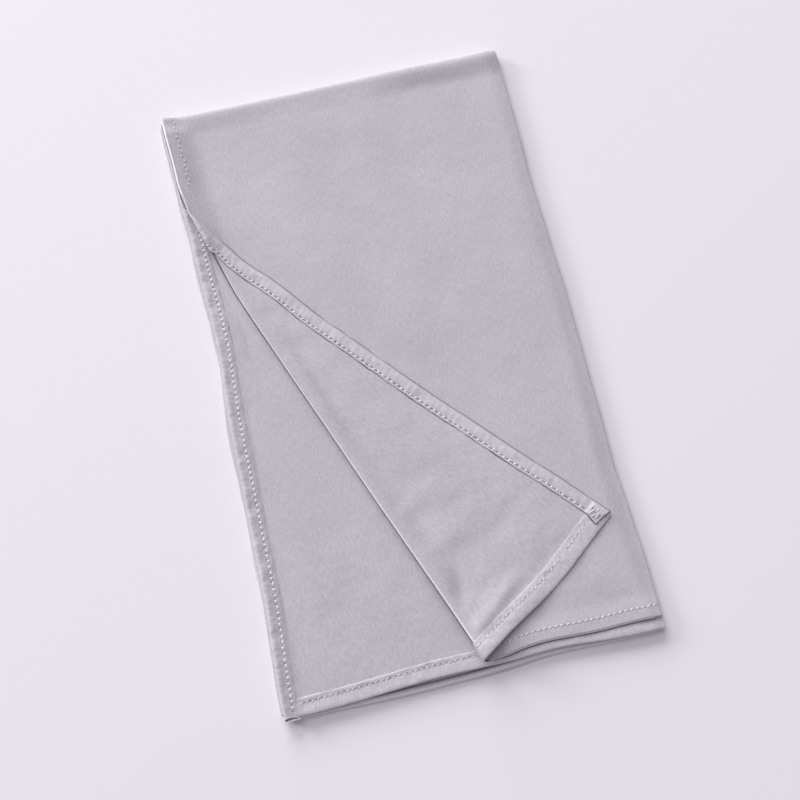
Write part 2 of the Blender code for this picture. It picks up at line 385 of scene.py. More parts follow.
class Leaf:
    """A leaf of cloth as a surface over its own flat coordinates.

    X runs across the flat leaf and Y along it, in millimetres, so a hem, a stitch or a seam is
    placed by where it lies on the flat cloth and follows each bend.
    """

    STEP: ClassVar[float] = 0.25

    def point(self, x: Grid, y: Grid) -> Grid:
        """Middle of the cloth at flat places."""
        raise NotImplementedError

    def axes(self, x: Grid, y: Grid) -> tuple[Grid, Grid, Grid]:
        """Unit directions on the cloth.

        Args:
            x: flat places across the leaf.
            y: flat places along it.

        Returns:
            Towards +X of the flat leaf, towards its -Y, and out of its upper side.
        """
        across = self.point(x + self.STEP, y) - self.point(x - self.STEP, y)
        down = self.point(x, y - self.STEP) - self.point(x, y + self.STEP)
        across = across / np.maximum(np.linalg.norm(across, axis=-1, keepdims=True), 1e-9)
        up = np.cross(down, across)
        up = up / np.maximum(np.linalg.norm(up, axis=-1, keepdims=True), 1e-9)
        return across, np.cross(across, up), up

    def off(self, x: Grid, y: Grid, height: Grid) -> Grid:
        """Points at a height above the leaf's upper side, or below it where negative."""
        return self.point(x, y) + self.axes(x, y)[2] * np.asarray(height)[..., None]


@dataclass
class FrontLeaf(Leaf):
    """The top leaf, rounded over at the right and far sides, its corner turned back."""

    bundle: Bundle
    edge_rows: tuple[EdgeRow, ...] = (
        EdgeRow(235.0, 2.5),
        EdgeRow(178.0, 4.7),
        EdgeRow(150.0, 8.2),
        EdgeRow(132.0, 8.6),
        EdgeRow(105.0, 6.0),
        EdgeRow(60.0, 2.8),
        EdgeRow(10.0, 5.6),
        EdgeRow(-60.0, 6.6),
        EdgeRow(-140.0, 6.0),
        EdgeRow(-235.0, 3.4),
    )
    crease_x0: float = -99.9
    crease_y0: float = 60.0
    crease_slope: float = 0.387
    crease_slope_far: float = 0.29
    crease_bends_y: float = 78.0
    crease_bends_over: float = 10.0
    turn_starts: float = 196.0
    turn_ends: float = 122.0
    least_turn: float = 0.002
    lies_back: Ramp = Ramp(0.75 * math.pi, 0.25 * math.pi)
    flap_stretch: float = 0.01
    flap_stretches: Ramp = Ramp(-60.0, 280.0)
    flap_lies: float = 0.9
    flap_lies_at_least: float = 0.3
    settles_base: float = 7.0
    settles_per_radius: float = 4.0
    relief_starts: Ramp = Ramp(-3.0, 11.0)
    hem_lift: float = 2.4
    hem_lift_along: Ramp = Ramp(10.0, 50.0)
    hem_lift_starts: Ramp = Ramp(-5.0, 15.0)
    hem_lift_ends: Ramp = Ramp(18.0, 52.0)
    near_hem_rise: float = 1.1
    near_hem_falls: Ramp = Ramp(7.0, 14.0)
    long_hem_rise: float = 2.9
    long_hem_falls: Ramp = Ramp(7.0, 15.0)
    long_hem_lies_below: Ramp = Ramp(90.0, 50.0)
    far_rise: float = 1.5
    far_rise_right: float = 1.3
    far_rise_grows: Ramp = Ramp(5.0, 60.0)
    far_rise_starts: Ramp = Ramp(0.0, 5.0)
    far_rise_falls: Ramp = Ramp(3.0, 17.0)
    far_evens: Ramp = Ramp(6.0, 12.0)
    side_evens: Ramp = Ramp(0.0, 30.0)
    wrap_evens: Ramp = Ramp(0.4, 1.8)
    near_swing: float = 50.0
    flap_swing: float = 60.0
    crease_swing: Ramp = Ramp(0.0, 25.0)
    swell_height: float = 0.36
    crumple_height: float = 0.045
    flap_crumple_height: float = 0.10
    flap_crumple_shift: float = 90.0
    crease_rows: tuple[CreaseRow, ...] = (
        CreaseRow(190.0, 0.8, 14.0, 0.3),
        CreaseRow(135.0, 1.1, 17.5, 1.0),
        CreaseRow(112.0, 1.4, 18.6, 1.6),
        CreaseRow(75.0, 1.6, 20.6, 0.9),
        CreaseRow(-20.0, 1.9, 20.6, 0.6),
        CreaseRow(-110.0, 2.5, 20.0, 0.5),
        CreaseRow(-180.0, 2.9, 18.6, 0.7),
        CreaseRow(-235.0, 3.8, 17.3, 0.8),
    )
    near_bumps: tuple[Bump, ...] = (
        Bump(42.0, 18.0, 1.0),
        Bump(60.0, 28.0, 3.0),
        Bump(116.0, 30.0, 2.2),
    )
    flap_near_bumps: tuple[Bump, ...] = (
        Bump(-68.0, 40.0, -3.6),
    )
    flap_strokes: tuple[Stroke, ...] = (
        Stroke(-58.0, -40.0, -20.0, -128.0, 10.0, -0.5),
        Stroke(-30.0, -120.0, 4.0, -96.0, 6.0, 0.5),
        Stroke(-14.0, -150.0, 30.0, -120.0, 7.0, 0.6),
        Stroke(28.0, -150.0, 66.0, -118.0, 6.0, -0.5),
        Stroke(-96.0, 52.0, -60.0, 34.0, 7.0, 0.4),
        Stroke(34.0, -196.0, 84.0, -158.0, 4.0, -0.35),
        Stroke(-8.0, -206.0, 16.0, -150.0, 7.5, -1.9),
        Stroke(0.0, -204.0, 26.0, -174.0, 4.0, -0.6),
        Stroke(2.0, -213.0, 43.0, -179.0, 4.8, 1.4),
        Stroke(13.0, -225.0, 58.0, -188.0, 9.5, 1.15),
        Stroke(-84.0, 46.0, -56.0, -48.0, 6.5, 1.1),
    )
    face_strokes: tuple[Stroke, ...] = (
        Stroke(-90.0, 170.0, -20.0, 60.0, 26.0, 0.9),
        Stroke(-10.0, 190.0, 30.0, 90.0, 30.0, -0.6),
        Stroke(60.0, 130.0, 104.0, 10.0, 22.0, 0.7),
        Stroke(118.0, -60.0, 124.0, -140.0, 12.0, -0.9),
        Stroke(60.0, 20.0, 110.0, -60.0, 18.0, -0.5),
        Stroke(96.0, -186.0, 124.0, -206.0, 14.0, 0.6),
        Stroke(-60.0, 57.0, -8.0, -4.0, 3.4, -0.6),
        Stroke(-8.0, -4.0, 116.0, -142.0, 3.4, -0.6),
    )
    swell: Waves = field(default_factory=lambda: Waves(4, 45.0, 190.0))
    crumple: Waves = field(default_factory=lambda: Waves(9, 11.0, 34.0, 26))

    def edge(self, y: Grid) -> Grid:
        """X of the leaf's own long edge before its corner is turned back."""
        return -self.bundle.right + along(self.edge_rows, "inset", y)

    def crease_x(self, y: Grid) -> Grid:
        """X where the leaf starts to turn back.

        Args:
            y: places along the leaf.

        Returns:
            X at each place, in millimetres.
        """
        slant = self.crease_x0 + (self.crease_y0 - y) * self.crease_slope
        past = self.crease_bends_over * np.logaddexp(0.0, (y - self.crease_bends_y) / self.crease_bends_over)
        return slant + past * (self.crease_slope - self.crease_slope_far)

    def crease_turn(self, y: Grid) -> Grid:
        """Angle through which the cloth turns at the crease."""
        span = self.turn_starts - self.turn_ends
        return np.maximum(math.pi * ease((self.turn_starts - y) / span), self.least_turn)

    def lying(self, x: Grid, y: Grid) -> Grid:
        """Height of the middle of the cloth where it lies on the leaf below.

        Args:
            x: places across the bundle.
            y: places along it.

        Returns:
            Height in millimetres.
        """
        bundle = self.bundle
        from_far = bundle.far - y
        over_long = 1.0 - self.long_hem_falls.at(x - self.edge(y))
        over_long = self.long_hem_rise * over_long * self.long_hem_lies_below.at(y)
        over_near = self.near_hem_rise * (1.0 - self.near_hem_falls.at(y - bundle.front_near))
        far = self.far_rise + self.far_rise_right * self.far_rise_grows.at(x)
        far = far * (1.0 - self.far_rise_falls.at(from_far)) * self.far_rise_starts.at(from_far)
        inside = self.side_evens.at(x + bundle.right) * self.side_evens.at(bundle.right - x)
        soft = self.swell_height * self.swell.at(x, y) + self.crumple_height * self.crumple.at(x, y)
        soft = (soft + strokes_at(self.face_strokes, x, y)) * inside
        over_hems = np.maximum(over_long, over_near)
        return bundle.front_middle + (over_hems + soft) * self.far_evens.at(from_far) + far

    def fold_radius(self, y: Grid) -> Grid:
        """Radius of the soft fold on the right, to the middle of the cloth."""
        side = np.full(np.shape(y), self.bundle.right)
        return (self.lying(side, y) - self.bundle.second_middle) / 2.0

    def flat_end(self, y: Grid) -> Grid:
        """X at which the leaf starts to round over the right side."""
        return self.bundle.right - self.bundle.cloth / 2.0 - self.fold_radius(y)

    def turned(self, beyond: Grid, y: Grid) -> Grid:
        """Points of the leaf beyond the crease.

        Args:
            beyond: distance past the crease along the leaf's row.
            y: the row's place along the leaf.

        Returns:
            Points in millimetres.
        """
        slant = np.radians(along(self.crease_rows, "slant", y))
        radius = along(self.crease_rows, "radius", y)
        stretched = beyond * (1.0 + self.flap_stretch * self.flap_stretches.at(-y))
        across = stretched * np.cos(slant)
        slide = -stretched * np.sin(slant)
        arc = math.pi * radius
        turn = self.crease_turn(y)
        bend = arc / turn
        bent = np.minimum(across, arc)
        reach = bend * np.sin(bent / bend)
        lift = bend * (1.0 - np.cos(bent / bend))
        straight = across - bent
        reach = reach + straight * np.cos(turn)
        lift = lift + straight * np.sin(turn)
        over = self.lies_back.at(turn)
        settles_over = self.settles_base + self.settles_per_radius * radius
        lift = lift + (self.flap_lies - lift) * ease(straight / settles_over) * over
        x = self.crease_x(y) + slide * np.sin(slant) - reach * np.cos(slant)
        y_now = y - slide * np.cos(slant) - reach * np.sin(slant)
        crumpled = self.flap_crumple_height * self.crumple.at(x + self.flap_crumple_shift, y_now)
        relief = strokes_at(self.flap_strokes, x, y_now) + crumpled
        relief = np.maximum(relief, self.flap_lies_at_least - lift)
        lift = lift + relief * over * self.relief_starts.at(straight)
        near_hem = 1.0 - self.hem_lift_along.at(y - self.bundle.front_near)
        beside_crease = self.hem_lift_starts.at(straight) * (1.0 - self.hem_lift_ends.at(straight))
        lift = lift + self.hem_lift * near_hem * beside_crease
        z = self.lying(x, y_now) + lift
        return np.stack([x, y_now, z], axis=-1)

    def point(self, x: Grid, y: Grid) -> Grid:
        """Middle of the cloth at flat places, round the folds and back over the crease.

        Args:
            x: flat places across the leaf.
            y: flat places along it.

        Returns:
            Points in the bundle's millimetres.
        """
        bundle = self.bundle
        x, y = np.broadcast_arrays(np.asarray(x, float), np.asarray(y, float))
        row = np.minimum(y, bundle.wrap_y)
        ends = self.flat_end(row)
        radius = self.fold_radius(row)
        angle = np.clip((x - ends) / radius, 0.0, math.pi)
        held = np.minimum(x, ends)
        flat_z = self.lying(np.where(x > ends, bundle.right, held), row)
        edge_swing = ease((bundle.front_near + self.near_swing - row) / self.near_swing)
        edge_swing = edge_swing * bumps_at(self.near_bumps, x) * self.crease_swing.at(x - self.crease_x(row))
        flat = np.stack([
            np.where(x > ends, ends + radius * np.sin(angle), x),
            row + edge_swing,
            np.where(x > ends, flat_z - radius * (1.0 - np.cos(angle)), flat_z),
        ], axis=-1)
        flap_swing = ease((bundle.front_near + self.flap_swing - row) / self.flap_swing)
        flap_row = row + bumps_at(self.flap_near_bumps, x) * flap_swing
        beyond = self.crease_x(row) - x
        back = self.turned(np.maximum(beyond, 0.0), flap_row)
        points = np.where((beyond > 0.0)[..., None], back, flat)
        over = np.maximum(y - bundle.wrap_y, 0.0)
        turn = over / bundle.wrap_radius
        out = bundle.wrap_radius + (points[..., 2] - bundle.front_middle) * (1.0 - self.wrap_evens.at(turn))
        centre_z = bundle.front_middle - bundle.wrap_radius
        round_far = np.stack([
            points[..., 0],
            bundle.wrap_y + out * np.sin(turn),
            centre_z + out * np.cos(turn),
        ], axis=-1)
        return np.where((over > 0.0)[..., None], round_far, points)


@dataclass
class SecondLeaf(Leaf):
    """The leaf below, wrong side up, which shows where the corner is turned back."""

    bundle: Bundle
    near_bumps: tuple[Bump, ...] = (
        Bump(-20.0, 58.0, 3.7),
        Bump(62.0, 34.0, 3.6),
    )
    near_swing: float = 60.0
    crease_x0: float = FrontLeaf.crease_x0
    crease_y0: float = FrontLeaf.crease_y0
    crease_slope: float = FrontLeaf.crease_slope
    covered: Ramp = Ramp(-6.0, 12.0)
    side_evens: Ramp = Ramp(0.0, 26.0)
    near_evens: Ramp = Ramp(0.0, 24.0)
    swell_height: float = 0.12
    crumple_height: float = 0.04
    strokes: tuple[Stroke, ...] = (
        Stroke(-112.0, 60.0, -108.0, -20.0, 6.0, 0.5),
        Stroke(-96.0, -20.0, -70.0, -120.0, 9.0, -0.4),
        Stroke(-60.0, -120.0, -40.0, -190.0, 14.0, 0.5),
        Stroke(-104.0, -120.0, -96.0, -200.0, 12.0, 0.4),
    )
    swell: Waves = field(default_factory=lambda: Waves(21, 30.0, 120.0))
    crumple: Waves = field(default_factory=lambda: Waves(23, 9.0, 26.0, 26))

    def point(self, x: Grid, y: Grid) -> Grid:
        """Middle of the cloth at flat places.

        Args:
            x: flat places across the leaf.
            y: flat places along it.

        Returns:
            Points in the bundle's millimetres.
        """
        x, y = np.broadcast_arrays(np.asarray(x, float), np.asarray(y, float))
        bundle = self.bundle
        inside = self.side_evens.at(x + bundle.right) * self.near_evens.at(y - bundle.near)
        shown = 1.0 - self.covered.at(x - (self.crease_x0 + (self.crease_y0 - y) * self.crease_slope))
        relief = self.crumple_height * self.crumple.at(x, y) + strokes_at(self.strokes, x, y)
        z = bundle.second_middle + self.swell_height * (1.0 + self.swell.at(x, y)) * inside
        swing = ease((bundle.near + self.near_swing - y) / self.near_swing)
        return np.stack([x, y + bumps_at(self.near_bumps, x) * swing, z + relief * inside * shown], axis=-1)


class Nodes:
    """A material's node tree, with one call that adds a node, its settings and its links."""

    def __init__(self, name: str) -> None:
        """Make an empty material.

        Args:
            name: the material's name.
        """
        self.material = bpy.data.materials.new(name)
        self.material.use_nodes = True
        self.tree = self.material.node_tree
        self.tree.nodes.clear()

    def add(self, kind: str, settings: dict | None = None, numbered: dict | None = None,
            **inputs: object) -> bpy.types.Node:
        """Add a node.

        Args:
            kind: the node's type name.
            settings: its properties by name.
            numbered: sockets that share a name, by their number, each a value or a linked socket.
            inputs: its other sockets by name, with underscores for spaces.

        Returns:
            The new node.
        """
        node = self.tree.nodes.new(kind)
        for name, value in (settings or {}).items():
            setattr(node, name, value)
        named = {name.replace("_", " "): value for name, value in inputs.items()}
        for place, value in {**named, **(numbered or {})}.items():
            socket = node.inputs[place]
            if isinstance(value, bpy.types.NodeSocket):
                self.tree.links.new(value, socket)
            else:
                socket.default_value = value
        return node


@dataclass(frozen=True)
class JerseyFinish:
    """Fine viscose jersey, knitted plain and washed soft: matt, faintly streaked along its wales.

    The wales of the real cloth stand about 0.9 mm apart and hardly show at this distance, so they
    are drawn as uneven lengthwise streaks one or two wales wide, with a fine grain over them.
    """

    name: str
    colour: str
    shade: str
    streak_mm: float = 1.2
    streak_length_mm: float = 5.0
    grain_mm: float = 1.05
    streak_depth_mm: float = 0.18
    grain_weight: float = 0.8
    cloud_mm: float = 45.0
    cloud_weight: float = 0.35
    contrast: float = 1.25
    roughness: float = 0.78
    sheen: float = 0.35

    def build(self) -> bpy.types.Material:
        """Make the material, which reads the piece's UV map in metres of flat cloth.

        Returns:
            The material.
        """
        nodes = Nodes(self.name)
        place = nodes.add("ShaderNodeTexCoord").outputs["UV"]
        streak_scale = (1.0 / (self.streak_mm * MM), 1.0 / (self.streak_length_mm * MM), 1.0)
        streaks_at = nodes.add("ShaderNodeMapping", Vector=place, Scale=streak_scale)
        streaks = nodes.add("ShaderNodeTexNoise", Vector=streaks_at.outputs["Vector"], Scale=1.0, Detail=3.0,
                            Roughness=0.6)
        grain_scale = (1.0 / (self.grain_mm * MM), 0.45 / (self.grain_mm * MM), 1.0)
        grain_at = nodes.add("ShaderNodeMapping", Vector=place, Scale=grain_scale)
        grain = nodes.add("ShaderNodeTexNoise", Vector=grain_at.outputs["Vector"], Scale=1.0, Detail=2.0,
                          Roughness=0.7)
        cloud = nodes.add("ShaderNodeTexNoise", Vector=place, Scale=1.0 / (self.cloud_mm * MM), Detail=2.0)
        mixed = nodes.add("ShaderNodeMath", {"operation": "MULTIPLY_ADD"},
                          {0: grain.outputs["Fac"], 1: self.grain_weight, 2: streaks.outputs["Fac"]})
        clouded = nodes.add("ShaderNodeMath", {"operation": "MULTIPLY_ADD"},
                            {0: cloud.outputs["Fac"], 1: self.cloud_weight, 2: mixed.outputs["Value"]})
        middle = 0.5 * (1.0 + self.grain_weight + self.cloud_weight)
        reach = 0.5 / self.contrast
        ranged = nodes.add("ShaderNodeMapRange", Value=clouded.outputs["Value"], From_Min=middle - reach,
                           From_Max=middle + reach)
        colour = nodes.add("ShaderNodeMix", {"data_type": "RGBA"},
                           {0: ranged.outputs["Result"], 6: linear(self.shade), 7: linear(self.colour)})
        bump = nodes.add("ShaderNodeBump", Height=mixed.outputs["Value"], Strength=0.55,
                         Distance=self.streak_depth_mm * MM)
        shader = nodes.add("ShaderNodeBsdfPrincipled", Base_Color=colour.outputs[2],
                           Roughness=self.roughness, Sheen_Weight=self.sheen, Sheen_Roughness=0.45,
                           Specular_IOR_Level=0.25, Normal=bump.outputs["Normal"])
        nodes.add("ShaderNodeOutputMaterial", Surface=shader.outputs["BSDF"])
        return nodes.material


@dataclass(frozen=True)
class ThreadFinish:
    """Spun polyester sewing thread: smooth and a little shiny against the cloth."""

    name: str
    colour: str
    roughness: float = 0.5
    twist_mm: float = 0.5

    def build(self) -> bpy.types.Material:
        """Make the material, twisted finely along the stitch.

        Returns:
            The material.
        """
        nodes = Nodes(self.name)
        place = nodes.add("ShaderNodeTexCoord")
        twist = nodes.add("ShaderNodeTexNoise", Vector=place.outputs["Object"],
                          Scale=1.0 / (self.twist_mm * MM), Detail=1.0)
        bump = nodes.add("ShaderNodeBump", Height=twist.outputs["Fac"], Strength=0.3, Distance=0.05 * MM)
        shader = nodes.add("ShaderNodeBsdfPrincipled", Base_Color=linear(self.colour),
                           Roughness=self.roughness, Sheen_Weight=0.2, Normal=bump.outputs["Normal"])
        nodes.add("ShaderNodeOutputMaterial", Surface=shader.outputs["BSDF"])
        return nodes.material


@dataclass(frozen=True)
class TableFinish:
    """Painted board, matt and nearly white, with a faint lilac cast."""

    name: str = "matt_painted_board"
    colour: str = "F2EFF4"
    grain_mm: float = 4.0

    def build(self) -> bpy.types.Material:
        """Make the material.

        Returns:
            The material.
        """
        nodes = Nodes(self.name)
        place = nodes.add("ShaderNodeTexCoord")
        grain = nodes.add("ShaderNodeTexNoise", Vector=place.outputs["Object"],
                          Scale=1.0 / (self.grain_mm * MM), Detail=2.0)
        bump = nodes.add("ShaderNodeBump", Height=grain.outputs["Fac"], Strength=0.05, Distance=0.02 * MM)
        shader = nodes.add("ShaderNodeBsdfPrincipled", Base_Color=linear(self.colour), Roughness=0.7,
                           Specular_IOR_Level=0.2, Normal=bump.outputs["Normal"])
        nodes.add("ShaderNodeOutputMaterial", Surface=shader.outputs["BSDF"])
        return nodes.material


class Side(Enum):
    """Which side of a leaf something lies on."""

    UPPER = 1.0
    LOWER = -1.0


@dataclass
class Dresser:
    """Makes pieces of the bundle and gives each its body and finish."""

    bundle: Bundle
    finishes: dict[str, bpy.types.Material]

    def finish_piece(self, name: str, mesh: bpy.types.Mesh, finishes: list[str]) -> bpy.types.Object:
        """Make a mesh a piece of the part.

        Args:
            name: the piece's name.
            mesh: its mesh, in place.
            finishes: names of its finishes in slot order.

        Returns:
            The new object.
        """
        piece = bpy.data.objects.new(name, mesh)
        bpy.context.scene.collection.objects.link(piece)
        for finish in finishes:
            mesh.materials.append(self.finishes[finish])
        mesh.shade_smooth()
        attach(piece, "root")
        LOG.info("%s: %d faces", name, len(mesh.polygons))
        return piece

    def sheet(self, name: str, points: Grid, flat: Grid, finishes: list[str], slot: str,
              wall: float) -> bpy.types.Object:
        """Make a sheet of cloth from a grid mapped on a surface.

        Args:
            name: the piece's name.
            points: rows of points in the bundle's millimetres, row 0 at the far end.
            flat: the same rows in flat cloth millimetres, for the pattern.
            finishes: finish of the upper side, then of the lower side, and so on in pairs.
            slot: not used.
            wall: thickness of the cloth in millimetres.

        Returns:
            The new object.
        """
        down, across = points.shape[0] - 1, points.shape[1] - 1
        placed = self.bundle.place(points)
        sheet = bmesh.new()
        bmesh.ops.create_grid(sheet, x_segments=across, y_segments=down, size=0.5, calc_uvs=False)
        pattern = sheet.loops.layers.uv.new("flat_cloth")
        for vert in sheet.verts:
            column = round((vert.co.x + 0.5) * across)
            row = down - round((vert.co.y + 0.5) * down)
            vert.co = placed[row, column]
            for loop in vert.link_loops:
                loop[pattern].uv = flat[row, column] * MM
        mesh = bpy.data.meshes.new(name)
        sheet.to_mesh(mesh)
        sheet.free()
        piece = self.finish_piece(name, mesh, finishes)
        if wall > 0.0:
            solid = piece.modifiers.new("Wall", "SOLIDIFY")
            solid.thickness = wall * MM
            solid.offset = 0.0
            solid.material_offset = 1
            solid.material_offset_rim = 1
        return piece


def spaced(*stations: tuple[float, int]) -> Grid:
    """Places from the first station to the last, with a number of equal steps to each.

    Args:
        stations: pairs of a place and the steps that lead to it; the first pair's steps are unused.

    Returns:
        The places.
    """
    parts = [np.array([stations[0][0]])]
    for (start, _), (end, steps) in zip(stations, stations[1:]):
        parts.append(start + (end - start) * np.arange(1, steps + 1) / steps)
    return np.concatenate(parts)


@dataclass
class FrontCloth:
    """Mesh of the front leaf: its rows run across it and its columns follow the crease."""

    leaf: FrontLeaf
    wrap_steps: int = 12
    fold_steps: int = 9
    flat_steps: int = 84
    flap_steps: int = 62
    roll_steps: int = 8
    rim_steps: int = 4
    foot_steps: int = 2
    under_steps: int = 4
    row_steps: tuple[tuple[float, int], ...] = ((205.0, 14), (100.0, 56), (-200.0, 120))
    near_steps: int = 18
    wrap_angle: float = math.radians(172.0)
    fold_angle: float = math.radians(165.0)
    foot_angle: float = math.radians(80.5)
    foot_starts: float = 140.0
    foot_ends: float = 0.3
    least_cosine: float = -0.2
    least_flap: float = 2.0

    SHADED: ClassVar[int] = 2
    LIT: ClassVar[int] = 4

    def rows(self) -> Grid:
        """Flat places along the leaf, from under the far fold to the near hem."""
        bundle = self.leaf.bundle
        under = bundle.wrap_y + bundle.wrap_radius * self.wrap_angle
        return spaced((under, 0), (bundle.wrap_y, self.wrap_steps), *self.row_steps,
                      (bundle.front_near, self.near_steps))

    def columns(self, y: float) -> Grid:
        """Flat places across one row, from left to right.

        Args:
            y: the row's flat place along the leaf.

        Returns:
            The places, of which each row has the same number.
        """
        row = np.array(min(y, self.leaf.bundle.wrap_y))
        edge = float(self.leaf.edge(row))
        slant = math.radians(float(along(self.leaf.crease_rows, "slant", row)))
        radius = float(along(self.leaf.crease_rows, "radius", row))
        arc = math.pi * radius / math.cos(slant)
        width = float(along(self.leaf.crease_rows, "foot", row))
        foot = self.foot_angle + math.acos(max(self.least_cosine, 1.0 - width / radius))
        crease = max(float(self.leaf.crease_x(row)), edge + arc + self.least_flap)
        ends = float(self.leaf.flat_end(row))
        tail = ends + float(self.leaf.fold_radius(row)) * self.fold_angle
        return spaced((edge, 0), (crease - arc, self.flap_steps),
                      (crease - arc * foot / math.pi, self.roll_steps),
                      (crease - arc * self.foot_ends, self.foot_steps), (crease, self.under_steps),
                      (ends, self.flat_steps), (tail, self.fold_steps))

    def make(self, dresser: Dresser) -> bpy.types.Object:
        """Build the leaf, with painted shade along the foot of the crease and painted light on the rim beside
        it.

        Args:
            dresser: makes the piece.

        Returns:
            The piece.
        """
        rows = self.rows()
        across = np.stack([self.columns(float(y)) for y in rows])
        down = np.repeat(rows[:, None], across.shape[1], axis=1)
        points = self.leaf.point(across, down)
        piece = dresser.sheet("front_leaf_cloth", points, np.stack([across, down], axis=-1),
                              ["jersey_face", "jersey_wrong_side", "shaded_jersey", "shaded_jersey",
                               "lit_jersey", "lit_jersey"],
                              "jersey_face", self.leaf.bundle.cloth)
        faces_across = across.shape[1] - 1
        lowest = self.flap_steps + self.roll_steps
        from_near = rows[::-1]
        for number, polygon in enumerate(piece.data.polygons):
            column = number % faces_across
            # The foot of the crease gets painted shade, and the rim just above it painted light.
            if from_near[number // faces_across] < self.foot_starts:
                if lowest <= column < lowest + self.foot_steps:
                    polygon.material_index = self.SHADED
                elif lowest - self.rim_steps <= column < lowest:
                    polygon.material_index = self.LIT
        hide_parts("front_leaf")
        return piece


@dataclass
class SecondCloth:
    """Mesh of the second leaf."""

    leaf: SecondLeaf
    right_inset: float = 0.4
    far_inset: float = 5.0
    across_steps: int = 120
    down_steps: int = 200

    def make(self, dresser: Dresser) -> bpy.types.Object:
        """Build the leaf.

        Args:
            dresser: makes the piece.

        Returns:
            The piece.
        """
        bundle = self.leaf.bundle
        rows = np.linspace(bundle.far - self.far_inset, bundle.near, self.down_steps + 1)
        share = np.linspace(0.0, 1.0, self.across_steps + 1)
        edge = bundle.left_edge(rows)[:, None]
        across = edge + (bundle.right - self.right_inset - edge) * share[None, :]
        down = np.repeat(rows[:, None], across.shape[1], axis=1)
        points = self.leaf.point(across, down)
        piece = dresser.sheet("second_leaf_cloth", points, np.stack([across, down], axis=-1),
                              ["jersey_wrong_side", "jersey_face"], "jersey_wrong_side", bundle.cloth)
        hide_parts("second_leaf")
        return piece


class HemStation(NamedTuple):
    """One line along a hem: its distance in from the edge and height off the middle of the leaf."""

    inward: float
    height: float
    swells: float = 0.0


class HemShift(NamedTuple):
    """A line of a hem moved in and up past a place along it, or before it where over is negative."""

    station: int
    inward: float
    height: float
    start: float
    over: float


class HemShape(NamedTuple):
    """Heights of a hem's section above the middle of the leaf, and how far its parts reach."""

    lip: float
    lip_slope: float
    dip: float
    inner_crown: float
    crown: float
    outer_crown: float
    bulge: float
    shade_width: float
    skirt: float = -0.56


class HemKind(Enum):
    """The sections of the scarf's hems: along its long sides and across its ends."""

    FLAP_LONG = HemShape(1.05, 0.1, 0.80, 1.20, 1.45, 1.30, 0.95, 0.65)
    FLAP_END = HemShape(0.64, 0.7, 0.66, 0.95, 1.05, 1.00, 0.35, 0.0)
    LONG = HemShape(0.95, 2.0, 0.66, 0.85, 1.30, 1.70, 0.0, 0.0)
    END = HemShape(0.90, 0.25, 0.62, 0.80, 1.00, 1.05, 0.20, 0.0, -1.0)


